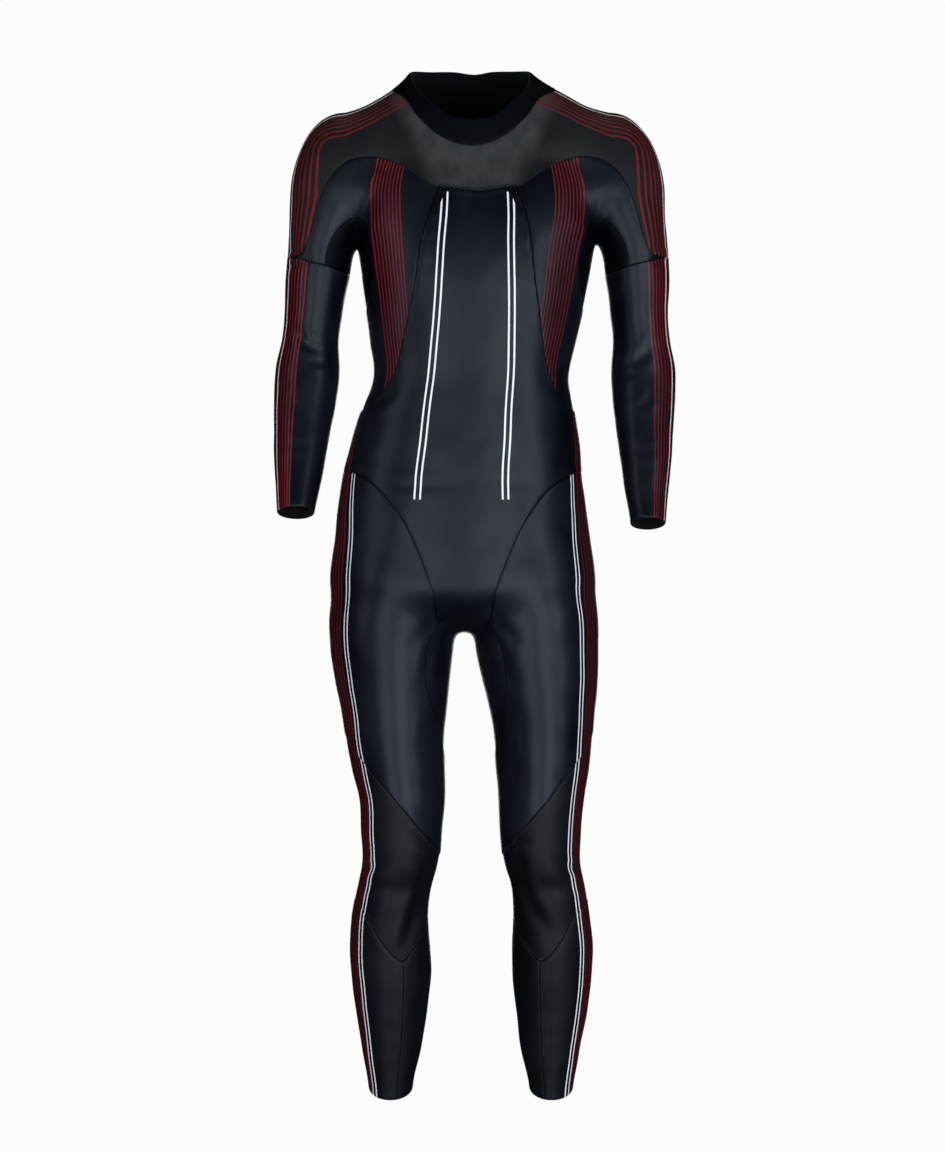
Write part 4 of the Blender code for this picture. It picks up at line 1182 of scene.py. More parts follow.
BACK_CREASES = (
    # Shoulder blades, waist, seat, elbows and the hollows of the knees.
    (((-0.120, -0.170, -62), (0.132, -0.170, 62)), 0.040, 0.0090, 0.0022, 0.006),
    (((-0.060, -0.372, 10), (0.056, -0.376, -10)), 0.040, 0.0075, 0.0022, 0.005),
    (((-0.078, -0.438, -8), (0.070, -0.440, 8)), 0.040, 0.0075, 0.0018, -0.005),
    (((-0.085, -0.705, -14), (0.068, -0.705, 14)), 0.042, 0.0080, 0.0020, 0.008),
    (((-0.226, -0.325, 14), (0.234, -0.340, -14)), 0.022, 0.0060, 0.0018, 0.004),
    (((-0.100, -1.010, 10), (0.096, -1.012, -10)), 0.030, 0.0065, 0.0030, 0.004),
    (((-0.102, -1.040, -8), (0.098, -1.042, 8)), 0.030, 0.0065, 0.0026, -0.003),
)
CREASES = tuple(
    Crease(*place, *shape, front=front)
    for table, front in ((FRONT_CREASES, True), (BACK_CREASES, False))
    for places, *shape in table
    for place in places
)

# Slow waves of the worn rubber: how tall each is, and the ways and lengths it runs in.
WAVES = (
    # height, x, y, z waves in a metre, phase
    (0.00018, 7.0, 3.0, 9.0, 0.4),
    (0.00016, -11.0, 5.0, 6.5, 1.9),
    (0.00013, 5.0, -9.0, 15.0, 3.1),
    (0.00010, 19.0, 8.0, -12.0, 0.9),
    (0.00008, -16.0, 14.0, 21.0, 5.0),
)
ZIP_MIDDLE_X = 0.004
CALM_REACH = 3 * ZIP_TAPE_HALF

# The thick glued edge of the centre front panel, along its top and upper sides.
WELT_WIDTH, WELT_HEIGHT = 0.0110, 0.0019
WELT_FULL_SHARE = 0.55
WELT_FADE_LOW_Z, WELT_FADE_HIGH_Z = -0.36, -0.12

# The collar's back edge sinks at the zip.
NECK_DIP_X, NECK_DIP_HALF, NECK_DIP_DEPTH = 0.001, 0.018, 0.005
NECK_DIP_FROM_Z, NECK_DIP_FULL_Z = 0.040, 0.078


def rumple(points: Points, normals: Points) -> Values:
    """How far creases and waves move points out of the smooth surface.

    Args:
        points: The points, as rows.
        normals: Their outward normals.

    Returns:
        A height for each.
    """
    height = sum(crease.height(points, normals) for crease in CREASES)
    for tall, *ways, phase in WAVES:
        height = height + tall * np.sin(2 * math.pi * points @ np.array(ways) + phase)
    from_zip = np.abs(points[:, 0] - ZIP_MIDDLE_X)
    beside_zip = smooth_step(ZIP_TAPE_HALF, CALM_REACH, from_zip)
    return height * np.where(points[:, 1] > BACK_FROM_Y, beside_zip, 1.0)


def welt(points: Points, away: Values) -> Values:
    """How much of the thick glued edge is at points that are so far from the panel's rim."""
    upper = smooth_step(WELT_FADE_LOW_Z, WELT_FADE_HIGH_Z, points[:, 2]) * (points[:, 1] < 0)
    return upper * (1 - smooth_step(WELT_WIDTH * WELT_FULL_SHARE, WELT_WIDTH, away))


def neck_dip(points: Points) -> Values:
    """How far the collar's back edge sinks at the zip."""
    across = (points[:, 0] - NECK_DIP_X) / NECK_DIP_HALF
    high = smooth_step(NECK_DIP_FROM_Z, NECK_DIP_FULL_Z, points[:, 2])
    return -NECK_DIP_DEPTH * high * (points[:, 1] > BACK_FROM_Y) * np.exp(-(across**2))


class Lines(Enum):
    """What is printed on a kind of panel."""

    NONE = "none"
    SHOULDER = "shoulder"
    SLEEVE_FRONT = "sleeve front"
    SLEEVE_BACK = "sleeve back"
    FLANK = "flank"
    CHEST = "chest"
    LEG = "leg"


UNPRINTED = 99.0
ARM_RADIUS = 0.045


@dataclass(frozen=True)
class Band:
    """Parallel pinstripes: where the first is, how far apart they are and how many."""

    first: float
    pitch: float
    stripes: int = 9

    def count(self, at: Values) -> Values:
        """How many stripes each place is past the first, as far as the band goes."""
        return np.minimum((at - self.first) / self.pitch, self.stripes)


@dataclass(frozen=True)
class Print:
    """Plain parallel pinstripes along the limbs and flanks, and straight twin lines."""

    arm: Band = Band(14.0, 7.5)
    flank: Band = Band(0.60, 0.0290)
    leg: Band = Band(51.0, 5.0)
    arm_white: float = 60.0
    leg_white: float = 45.0
    leg_fineness: float = 1.3
    chest_top_z: float = -0.110
    chest_top_across: float = 0.044
    chest_spread: float = 0.036

    def over_shoulder(self, side: Side, points: Points) -> Values:
        """How far round the arm, and on over the shoulder ridge, points are.

        Args:
            side: The arm's side.
            points: The points, as rows.

        Returns:
            Degrees for each: 0 at the front, 90 at the outer side or the top.
        """
        arm, ridge = FIGURE.arms[side], FIGURE.ridge
        mid_x, _, half_width, _, _ = arm.section(
            np.clip(points[:, 2], arm.knots[0], arm.knots[-1])
        ).T
        held = np.clip(points[:, 0], ridge.knots[0], ridge.knots[-1])
        mid_y, mid_z, half_depth, half_height, _ = ridge.section(held).T
        out = np.maximum(side * (points[:, 0] - mid_x) / half_width, 0)
        up = np.maximum((points[:, 2] - mid_z) / half_height, 0)
        return np.degrees(np.arctan2(np.hypot(out, up), (mid_y - points[:, 1]) / half_depth))

    def marks(self, lines: Lines, side: Side, points: Points) -> dict[str, Values]:
        """What the finish reads at each point.

        Args:
            lines: What is printed there.
            side: The panel's side.
            points: The points, as rows.

        Returns:
            "stripe", counted from the band's first stripe, and "twin" and "lone", the
            distances from the middles of a twin line and a single line.
        """
        none = np.full(len(points), UNPRINTED)
        stripe, twin, lone = -none, none, none
        if lines in (Lines.SHOULDER, Lines.SLEEVE_FRONT, Lines.SLEEVE_BACK):
            if lines is Lines.SHOULDER:
                right, left = (self.over_shoulder(s, points) for s in Side)
                angle = np.where(points[:, 0] > 0, left, right)
            else:
                angle = FIGURE.arms[side].around(side, points)
            if lines is Lines.SLEEVE_BACK:
                angle = angle % 360
            stripe = self.arm.count(angle)
            lone = np.radians(angle - self.arm_white) * ARM_RADIUS
        elif lines is Lines.FLANK:
            mid_x, _, half_width, _, _ = FIGURE.trunk.section(points[:, 2]).T
            stripe = self.flank.count(side * (points[:, 0] - mid_x) / half_width)
        elif lines in (Lines.CHEST, Lines.LEG):
            right, left = (FIGURE.legs[s].around(s, points) for s in Side)
            angle = np.where(points[:, 0] > LEGS_MIDDLE_X, left, right)
            stripe = self.leg.count(angle)
            if lines is Lines.LEG:
                leg = FIGURE.legs[side]
                at = np.clip(points[:, 2], leg.knots[0], leg.knots[-1])
                half_width = leg.section(at)[:, 2]
                twin = np.radians(angle - self.leg_white) * half_width * self.leg_fineness
            else:
                down = self.chest_top_z - points[:, 2]
                across = np.abs(points[:, 0] - FIGURE.middle_x(points))
                twin = across - self.chest_top_across - self.chest_spread * down
        return {"stripe": stripe, "twin": twin, "lone": lone}


# --- Walls ---


@dataclass(frozen=True)
class Kind:
    """A kind of panel: its wall, its flat cut's size, its finish, slot and print."""

    thickness: float
    width: float
    length: float
    area: float
    finish: "Finish"
    slot: str = "glossy_rubber"
    lines: Lines = Lines.NONE


SUIT_BODY, PULL_BODY = "suit", "pull"

PRINT = Print()
# The chest's lines end this far from the panel's rim, and at this height at the latest.
PRINT_MARGIN, CHEST_LINES_END_Z = 0.010, -0.530
RIM_SAMPLES = 4
PANEL_SHARP_DEGREES, PIECE_SHARP_DEGREES = 55, 48


def declare(made: Object, body: str, slot: str, *nodes: str) -> Object:
    """Hides the solids that a piece stands for and hangs it on the body that it moves with.

    Args:
        made: The piece.
        body: The body that it moves with.
        slot: Its finish's slot; not used.
        nodes: The solids that it stands for, if any.

    Returns:
        The piece.
    """
    if nodes:
        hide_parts(*nodes)
    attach(made, body)
    return made


@dataclass
class Panel:
    """One cut piece of the suit as a thin wall with rolled edges."""

    name: str
    faces: list[BMFace]
    roll_width: float = 0.0018
    roll_step: float = 0.0006
    roll_drop: float = 0.0006

    @property
    def kind(self) -> str:
        """The kind of panel, which the name begins with."""
        return next(kind for kind in KINDS if self.name.startswith(kind))

    @property
    def side(self) -> Side:
        """The side that the name ends with."""
        return RIGHT if self.name.endswith("_R") else LEFT

    @property
    def thickness(self) -> float:
        """The wall's thickness, as its solid's."""
        return KINDS[self.kind].thickness

    def sheet(self) -> BMesh:
        """A copy of the panel's faces, with two narrow strips along its rim.

        Returns:
            The copy.
        """
        bm = bmesh.new()
        copies: dict = {}
        for face in self.faces:
            for vert in face.verts:
                if vert not in copies:
                    copies[vert] = bm.verts.new(vert.co)
        for face in self.faces:
            bm.faces.new([copies[v] for v in face.verts])
        bm.normal_update()
        for width in (self.roll_width - self.roll_step, self.roll_step):
            bmesh.ops.inset_region(
                bm, faces=bm.faces[:], thickness=width, use_boundary=True, use_even_offset=True
            )
        bm.verts.index_update()
        return bm

    def from_rim(self, bm: BMesh, points: Points) -> Values:
        """How far each vert is from the panel's rim.

        Args:
            bm: The sheet.
            points: Its verts' places.

        Returns:
            A distance for each.
        """
        rims = [e for e in bm.edges if e.is_boundary]
        shares = [k / RIM_SAMPLES for k in range(RIM_SAMPLES)]
        tree = kdtree.KDTree(len(rims) * RIM_SAMPLES)
        for i, edge in enumerate(rims):
            a, b = (v.co for v in edge.verts)
            for k, share in enumerate(shares):
                tree.insert(a.lerp(b, share), i * RIM_SAMPLES + k)
        tree.balance()
        away = np.array([tree.find(point)[2] for point in points])
        away[[v.index for e in rims for v in e.verts]] = 0
        return away

    def build(self, outside: Material, inside: Material) -> Object:
        """Raises the wall and dresses it.

        Args:
            outside: The finish of the outer skin.
            inside: The finish of the lining and of the cut edges.

        Returns:
            The panel.
        """
        bm = self.sheet()
        base = positions(bm.verts)
        normals = FIGURE.normals(base)
        away = self.from_rim(bm, base)
        height = rumple(base, normals)
        roll = -self.roll_drop * (1 - np.clip(away / self.roll_width, 0, 1)) ** 2
        thick = welt(base, away) if self.kind == "front_body" else away * 0
        roll += WELT_HEIGHT * thick * np.clip(away / self.roll_width, 0, 1)
        placed = base.copy()
        placed[:, 2] += neck_dip(base)
        inner = placed + normals * height[:, None]
        outer = placed + normals * (height + self.thickness + roll)[:, None]
        count = len(base)
        top = [[v.index + count for v in f.verts] for f in bm.faces]
        under = [[v - count for v in reversed(face)] for face in top]
        edges = []
        for edge in (e for e in bm.edges if e.is_boundary):
            loop = edge.link_loops[0]
            a, b = loop.vert.index, loop.link_loop_next.vert.index
            edges.append([a, b, b + count, a + count])
        bm.free()
        mesh = bpy.data.meshes.new(self.name)
        mesh.from_pydata(np.vstack([inner, outer]).tolist(), [], top + under + edges)
        mesh.materials.append(outside)
        mesh.materials.append(inside)
        slots = [0] * len(top) + [1] * (len(under) + len(edges))
        mesh.polygons.foreach_set("material_index", slots)
        marks = PRINT.marks(KINDS[self.kind].lines, self.side, base)
        marks["printed"] = np.ones(len(base))
        if self.kind == "front_body":
            marks["printed"] = np.minimum(away - PRINT_MARGIN, base[:, 2] - CHEST_LINES_END_Z)
        # The finish paints shade from these: darker near the rim and over the welt.
        marks["seam"], marks["welt"] = away, thick
        for mark, values in marks.items():
            layer = mesh.attributes.new(mark, "FLOAT", "POINT")
            layer.data.foreach_set("value", np.tile(values, 2).astype(np.float32))
        mesh.shade_smooth()
        mesh.set_sharp_from_angle(angle=math.radians(PANEL_SHARP_DEGREES))
        return self.lay_out(add_object(f"{self.name}_skin", mesh))

    def lay_out(self, made: Object) -> Object:
        """Hides the wall's solid and hangs the wall on the suit's body.

        Args:
            made: The wall.

        Returns:
            The same.
        """
        kind = KINDS[self.kind]
        declare(made, SUIT_BODY, kind.slot, self.name)
        return made


# --- Finishes ---


@dataclass(frozen=True)
class Noise:
    """Cloudy noise: its scale, detail and stretch, and where a rise over it starts and ends."""

    scale: float
    detail: float = 3.0
    stretch: Triple = (1, 1, 1)
    rise: Pair | None = None


class Graph:
    """A material's node tree, with short ways to add what the finishes need."""

    def __init__(self, name: str) -> None:
        """Starts a material with only its output and shader.

        Args:
            name: The material's name.
        """
        self.material = bpy.data.materials.new(name)
        self.material.use_nodes = True
        self.tree = self.material.node_tree
        self.shader = self.tree.nodes["Principled BSDF"]
        self.place = self.node("ShaderNodeTexCoord").outputs["Object"]

    def node(
        self, kind: str, fills: Mapping[str | int, object] | None = None, **settings: object
    ) -> bpy.types.Node:
        """Adds a node.

        Args:
            kind: Its type.
            fills: What its inputs get, by name or number.
            settings: Its properties.

        Returns:
            The node.
        """
        made = self.tree.nodes.new(kind)
        for name, value in settings.items():
            setattr(made, name, value)
        for key, value in (fills or {}).items():
            self.fill(made.inputs[key], value)
        return made

    def fill(self, socket: Socket, value: object) -> None:
        """Links a socket to another or gives it a plain value, or leaves it for None.

        Args:
            socket: The socket.
            value: The other socket or the value.
        """
        if isinstance(value, bpy.types.NodeSocket):
            self.tree.links.new(value, socket)
        elif value is not None:
            socket.default_value = value

    def maths(self, operation: str, *values: object) -> Socket:
        """A Math node's result."""
        return self.node("ShaderNodeMath", dict(enumerate(values)), operation=operation).outputs[0]

    def times(self, a: object, b: object) -> Socket:
        """A product."""
        return self.maths("MULTIPLY", a, b)

    def plus(self, a: object, b: object) -> Socket:
        """A sum."""
        return self.maths("ADD", a, b)

    def most(self, a: object, b: object) -> Socket:
        """The greater of two."""
        return self.maths("MAXIMUM", a, b)

    def off(self, value: object, middle: float) -> Socket:
        """How far a value is from a middle one, to either side."""
        return self.maths("ABSOLUTE", self.maths("SUBTRACT", value, middle))

    def mark(self, name: str) -> Socket:
        """A value that the mesh carries at its verts."""
        return self.node("ShaderNodeAttribute", attribute_name=name).outputs["Fac"]

    def rise(self, value: object, low: float, high: float, to: float = 1.0) -> Socket:
        """A smooth rise from 0 at low to a height at high."""
        fills = {"Value": value, "From Min": low, "From Max": high, "To Max": to}
        made = self.node("ShaderNodeMapRange", fills, interpolation_type="SMOOTHSTEP")
        return made.outputs["Result"]

    def noise(self, noise: Noise) -> Socket:
        """Cloudy noise over the object's own space.

        Args:
            noise: Its settings.

        Returns:
            Its values.
        """
        where = self.node("ShaderNodeMapping", {"Scale": noise.stretch, "Vector": self.place})
        fills = {"Vector": where.outputs[0], "Scale": noise.scale, "Detail": noise.detail}
        found = self.node("ShaderNodeTexNoise", fills).outputs["Fac"]
        return self.rise(found, *noise.rise) if noise.rise else found

    def ribs(self, direction: str, scale: float, distortion: float) -> Socket:
        """Bands across one direction of the object's own space."""
        fills = {"Vector": self.place, "Scale": scale, "Distortion": distortion}
        return self.node("ShaderNodeTexWave", fills, bands_direction=direction).outputs["Fac"]

    def mix(self, share: object, a: object, b: object) -> Socket:
        """One colour turning into another."""
        a, b = ((*colour, 1.0) if isinstance(colour, tuple) else colour for colour in (a, b))
        fills = {"Factor": share, 6: a, 7: b}
        return self.node("ShaderNodeMix", fills, data_type="RGBA").outputs[2]

    def bump(self, height: Socket, distance: float, under: Socket | None = None) -> Socket:
        """A relief over the surface, on top of another if one is given."""
        fills = {"Height": height, "Distance": distance, "Normal": under}
        return self.node("ShaderNodeBump", fills).outputs["Normal"]

    def set(self, **values: object) -> None:
        """Sets the shader's sockets, named with _ for each space."""
        for name, value in values.items():
            self.fill(self.shader.inputs[name.replace("_", " ")], value)


@dataclass(frozen=True)
class Finish:
    """What a piece is made of."""

    name: str

    def material(self) -> Material:
        """The finish as a node material."""
        g = Graph(self.name)
        self.dress(g)
        return g.material

    def dress(self, g: Graph) -> None:
        """Adds the finish's nodes, which each kind of finish says itself."""
        raise NotImplementedError


@dataclass(frozen=True)
class Rubber(Finish):
    """The outer skin of foam rubber: coated, faintly clouded, with painted shade along its seams
    and over its welt.
    """

    colour: Colour
    cloud: Colour
    roughness: float
    coat: float
    coat_roughness: float
    grain: float
    # Painted shade along the seams and over the front panel's welt.
    seam_colour: Colour = (0.0010, 0.0012, 0.0018)
    red: Colour = (0.105, 0.0075, 0.0100)
    bright_red: Colour = (0.190, 0.009, 0.012)
    white: Colour = (0.84, 0.84, 0.86)
    stripe_share: float = 0.34
    stripe_softness: float = 0.05
    band_softness: float = 0.02
    twin_gap: float = 0.0038
    white_half: float = 0.0012
    line_softness: float = 0.0002
    line_height: float = 0.00006
    line_roughness: float = 0.05
    patch: Colour | None = None
    gloss: float = 0.14
    tint: Colour = (0.66, 0.80, 1.0)
    clouds: Noise = Noise(9, 4, rise=(0.35, 0.68))
    cloud_share: float = 0.8
    fine: Noise = Noise(140)
    fine_roughness: float = 0.06
    smears: Noise = Noise(26, 5, (1.0, 1.0, 0.35), (0.45, 0.75))
    smear_share: float = 0.55
    smear_roughness: float = 0.14
    red_shades: Noise = Noise(3.2, 1, rise=(0.40, 0.62))
    # Painted shade: how it rises towards each rim and over the welt, and how much of it there is.
    seam_rise: Pair = (0.0028, 0.0002)
    seam_share: float = 0.9
    welt_rise: Pair = (0.2, 0.8)
    welt_share: float = 0.85

    def dress(self, g: Graph) -> None:
        """Adds the finish's nodes.

        Args:
            g: Where they go.
        """
        clouds, fine, smears = g.noise(self.clouds), g.noise(self.fine), g.noise(self.smears)
        colour = g.mix(g.times(clouds, self.cloud_share), self.colour, self.cloud)
        colour = g.mix(g.times(smears, self.smear_share), colour, self.cloud)
        roughness = g.plus(self.roughness, g.times(smears, self.smear_roughness))
        roughness = g.plus(roughness, g.times(fine, self.fine_roughness))
        if self.patch:
            colour, roughness = BarePatch().over(g, self.patch, colour, roughness)
        # Painted shade: darker near each panel's rim and over the front panel's thick welt.
        edge = g.times(g.rise(g.mark("seam"), *self.seam_rise), self.seam_share)
        thick = g.rise(g.mark("welt"), *self.welt_rise, self.welt_share)
        colour = g.mix(g.most(edge, thick), colour, self.seam_colour)
        line = self.red_lines(g)
        red = g.mix(g.noise(self.red_shades), self.red, self.bright_red)
        colour = g.mix(line, colour, red)
        white = self.white_lines(g)
        colour = g.mix(white, colour, self.white)
        printed = g.most(line, white)
        roughness = g.plus(roughness, g.times(printed, self.line_roughness))
        relief = None
        for noise, depth, grained in RUBBER_RELIEFS:
            relief = g.bump(g.noise(noise), depth * (self.grain if grained else 1), relief)
        relief = g.bump(printed, self.line_height, relief)
        g.set(
            Base_Color=colour, Roughness=roughness, Normal=relief, Coat_Normal=relief,
            Coat_Weight=self.coat, Coat_Roughness=self.coat_roughness,
            Specular_IOR_Level=self.gloss, Specular_Tint=(*self.tint, 1.0),
        )

    def red_lines(self, g: Graph) -> Socket:
        """The red pinstripes.

        Args:
            g: The finish's nodes.

        Returns:
            Where they are, from 0 to 1.
        """
        stripe = g.mark("stripe")
        phase = g.off(g.maths("FRACT", stripe), 0.5)
        half = self.stripe_share / 2
        on = g.rise(phase, half + self.stripe_softness, half - self.stripe_softness)
        return g.times(on, g.rise(stripe, -self.band_softness, self.band_softness))

    def white_lines(self, g: Graph) -> Socket:
        """The white lines.

        Args:
            g: The finish's nodes.

        Returns:
            Where they are, from 0 to 1.
        """
        twin = g.off(g.maths("ABSOLUTE", g.mark("twin")), self.twin_gap)
        lone = g.maths("ABSOLUTE", g.mark("lone"))
        nearest, soft = g.maths("MINIMUM", twin, lone), self.line_softness
        on = g.rise(nearest, self.white_half + soft, self.white_half - soft)
        return g.times(on, g.rise(g.mark("printed"), -soft, soft))


# The rubber's relief: its noise, how deep it is, and whether the finish's grain deepens it.
RUBBER_RELIEFS = (
    (Noise(60, 4), 0.00018, False),
    (Noise(900, 2), 0.00004, True),
    (Noise(2600, 1), 0.00002, True),
)


@dataclass(frozen=True)
class BarePatch:
    """The lighter, rougher patch of the yoke under the collar, smudged at random, which narrows
    downwards.
    """

    middle_x: float = 0.004
    reach_z: float = -0.10
    spread: float = 0.45
    side_rise: Pair = (0.072, 0.038)
    front_rise: Pair = (0.00, -0.03)
    smudges: Noise = Noise(38, 6, (1.0, 1.0, 0.7), (0.30, 0.72))
    least: float = 0.45
    roughness: float = 0.14

    def over(
        self, g: Graph, patch: Colour, colour: Socket, roughness: Socket
    ) -> tuple[Socket, Socket]:
        """Lays the patch over a finish.

        Args:
            g: The finish's nodes.
            patch: The patch's colour.
            colour: The colour around it.
            roughness: The roughness around it.

        Returns:
            Both with the patch.
        """
        split = g.node("ShaderNodeSeparateXYZ")
        g.fill(split.inputs[0], g.place)
        x, y, z = split.outputs
        lean = g.times(g.plus(z, -self.reach_z), self.spread)
        inside = g.rise(g.maths("SUBTRACT", g.off(x, self.middle_x), lean), *self.side_rise)
        inside = g.times(inside, g.rise(y, *self.front_rise))
        smudged = g.plus(self.least, g.times(g.noise(self.smudges), 1 - self.least))
        return (
            g.mix(g.times(inside, smudged), colour, patch),
            g.plus(roughness, g.times(inside, self.roughness)),
        )


@dataclass(frozen=True)
class Knit(Finish):
    """The jersey on the inside of the rubber, and its cut edges."""

    name: str = "suit_lining"
    colour: Colour = (0.0010, 0.0010, 0.0012)
    yarn: Colour = (0.0036, 0.0036, 0.0042)
    stitches: float = 620.0
    distortion: float = 1.2
    relief: float = 0.0002
    roughness: float = 0.9
    sheen: float = 0.04
    gloss: float = 0.12

    def dress(self, g: Graph) -> None:
        """Adds the finish's nodes.

        Args:
            g: Where they go.
        """
        knit = g.times(*(g.ribs(way, self.stitches / 2, self.distortion) for way in "XZ"))
        colour = g.mix(g.times(knit, g.noise(Noise(30))), self.colour, self.yarn)
        g.set(
            Base_Color=colour, Roughness=self.roughness, Normal=g.bump(knit, self.relief),
            Sheen_Weight=self.sheen, Specular_IOR_Level=self.gloss,
        )


@dataclass(frozen=True)
class Weave(Finish):
    """Woven polyester: the zip's tape, in fine ribs, and sewing thread."""

    colour: Colour
    light: Colour
    ribs: float
    distortion: float = 0.6
    yarn: Noise = Noise(1400, 2, (1.0, 1.0, 3.0))
    rib_relief: float = 0.0002
    yarn_relief: float = 0.0001
    roughness: float = 0.78
    sheen: float = 0.2

    def dress(self, g: Graph) -> None:
        """Adds the finish's nodes.

        Args:
            g: Where they go.
        """
        rib = g.ribs("Z", self.ribs, self.distortion)
        yarn = g.noise(self.yarn)
        colour = g.mix(g.times(rib, yarn), self.colour, self.light)
        relief = g.bump(rib, self.rib_relief, g.bump(yarn, self.yarn_relief))
        g.set(
            Base_Color=colour, Roughness=self.roughness, Normal=relief, Sheen_Weight=self.sheen
        )


@dataclass(frozen=True)
class Nylon(Finish):
    """The zip's coil of black monofilament."""

    name: str = "zip_coil_nylon"
    colour: Colour = (0.008, 0.008, 0.010)
    worn: Colour = (0.030, 0.030, 0.034)
    wear: Noise = Noise(420, rise=(0.48, 0.70))
    grain: Noise = Noise(1800, 2)
    grain_relief: float = 0.00006
    roughness: float = 0.28
    worn_roughness: float = 0.25
    gloss: float = 0.5

    def dress(self, g: Graph) -> None:
        """Adds the finish's nodes.

        Args:
            g: Where they go.
        """
        wear = g.noise(self.wear)
        g.set(
            Base_Color=g.mix(wear, self.colour, self.worn),
            Roughness=g.plus(self.roughness, g.times(wear, self.worn_roughness)),
            Normal=g.bump(g.noise(self.grain), self.grain_relief),
            Specular_IOR_Level=self.gloss,
        )


@dataclass(frozen=True)
class Metal(Finish):
    """Dark plated metal of the slider and its pull, rubbed bright where it wears."""

    name: str = "zip_plated_metal"
    colour: Colour = (0.085, 0.087, 0.092)
    rubbed: Colour = (0.34, 0.34, 0.35)
    scratches: Noise = Noise(300, 4, (1.0, 1.0, 0.15), (0.52, 0.72))
    scratch_share: float = 0.4
    scratch_relief: float = 0.00004
    edge_rise: Pair = (0.50, 0.62)
    roughness: float = 0.26
    scratch_roughness: float = 0.18

    def dress(self, g: Graph) -> None:
        """Adds the finish's nodes.

        Args:
            g: Where they go.
        """
        scratches = g.noise(self.scratches)
        worn = g.node("ShaderNodeNewGeometry").outputs["Pointiness"]
        share = g.most(g.rise(worn, *self.edge_rise), g.times(scratches, self.scratch_share))
        g.set(
            Base_Color=g.mix(share, self.colour, self.rubbed), Metallic=1.0,
            Roughness=g.plus(self.roughness, g.times(scratches, self.scratch_roughness)),
            Normal=g.bump(scratches, self.scratch_relief),
        )


GLOSSY = Rubber(
    "glossy_skin_rubber", (0.0010, 0.0016, 0.0036), (0.0062, 0.0075, 0.0115),
    roughness=0.40, coat=0.14, coat_roughness=0.28, grain=1.0,
)
MATTE = Rubber(
    "matte_skin_rubber", (0.0074, 0.0071, 0.0077), (0.0120, 0.0116, 0.0126),
    roughness=0.54, coat=0.03, coat_roughness=0.40, grain=2.2,
    patch=(0.044, 0.042, 0.044), tint=(0.92, 0.94, 1.0),
)
CALM = Rubber(
    "calm_skin_rubber", (0.0018, 0.0020, 0.0030), (0.0052, 0.0055, 0.0070),
    roughness=0.46, coat=0.05, coat_roughness=0.36, grain=1.6, gloss=0.12,
    tint=(0.80, 0.87, 1.0),
)
SMOOTH = Rubber(
    "collar_skin_rubber", (0.0008, 0.0011, 0.0019), (0.0017, 0.0021, 0.0032),
    roughness=0.50, gloss=0.06, coat=0.01, coat_roughness=0.32, grain=0.6,
)
TAPE = Weave("zip_tape_weave", (0.008, 0.008, 0.009), (0.022, 0.022, 0.025), 360.0)
TAPE_THREAD = Weave("zip_thread", (0.014, 0.014, 0.016), (0.05, 0.05, 0.055), 900.0)
SEAM_THREAD = Weave("seam_thread", (0.012, 0.013, 0.016), (0.045, 0.048, 0.056), 900.0)

KINDS = {
    # thickness; the flat cut's longest width and length and its area; finish, slot, print
    "collar": Kind(0.0022, 0.055, 0.460, 0.0190, SMOOTH, "collar_rubber"),
    "zip_tape": Kind(0.0014, 0.027, 0.480, 0.0126, TAPE, "zip_tape"),
    "yoke": Kind(0.0018, 0.420, 0.530, 0.1501, MATTE, "matte_rubber", Lines.SHOULDER),
    # Painted shade: the underarm gussets take the collar's darker rubber so that the armpits look
    # shaded.
    "underarm": Kind(0.0016, 0.130, 0.200, 0.0190, SMOOTH, "matte_rubber"),
    "flank": Kind(0.0030, 0.160, 0.370, 0.0400, GLOSSY, lines=Lines.FLANK),
    "front_body": Kind(0.0048, 0.340, 0.600, 0.1245, GLOSSY, lines=Lines.CHEST),
    "sleeve_front": Kind(0.0020, 0.140, 0.400, 0.0459, GLOSSY, lines=Lines.SLEEVE_FRONT),
    "sleeve_back": Kind(0.0020, 0.130, 0.400, 0.0422, GLOSSY, lines=Lines.SLEEVE_BACK),
    "thigh": Kind(0.0044, 0.250, 0.550, 0.0882, GLOSSY, lines=Lines.LEG),
    "gusset": Kind(0.0024, 0.260, 0.360, 0.0530, GLOSSY),
    "knee": Kind(0.0028, 0.190, 0.330, 0.0380, CALM, lines=Lines.LEG),
    "shin_outer": Kind(0.0034, 0.130, 0.290, 0.0253, CALM, lines=Lines.LEG),
    "shin_inner": Kind(0.0034, 0.090, 0.260, 0.0156, CALM),
    "back": Kind(0.0026, 0.180, 0.370, 0.0545, GLOSSY),
    "seat": Kind(0.0034, 0.230, 0.610, 0.1130, GLOSSY),
    "calf": Kind(0.0034, 0.160, 0.370, 0.0450, CALM),
}
TAPE_THICKNESS = KINDS["zip_tape"].thickness

# --- Zip ---

ACROSS = Vector((1, 0, 0))
BEAD_PROFILE = (
    # place along, share of its width
    (-1.0, 0.45), (-0.72, 1.0), (0.72, 1.0), (1.0, 0.45),
)
THREAD_SIDES = 5


def link_mesh(name: str, bm: BMesh, finish: Material) -> Object:
    """A smooth object from a bmesh, sharp at its corners.

    Args:
        name: The piece's name.
        bm: Its mesh, which is used up.
        finish: Its material.

    Returns:
        The piece.
    """
    mesh = bpy.data.meshes.new(name)
    bm.to_mesh(mesh)
    bm.free()
    mesh.materials.append(finish)
    mesh.shade_smooth()
    mesh.set_sharp_from_angle(angle=math.radians(PIECE_SHARP_DEGREES))
    return add_object(name, mesh)


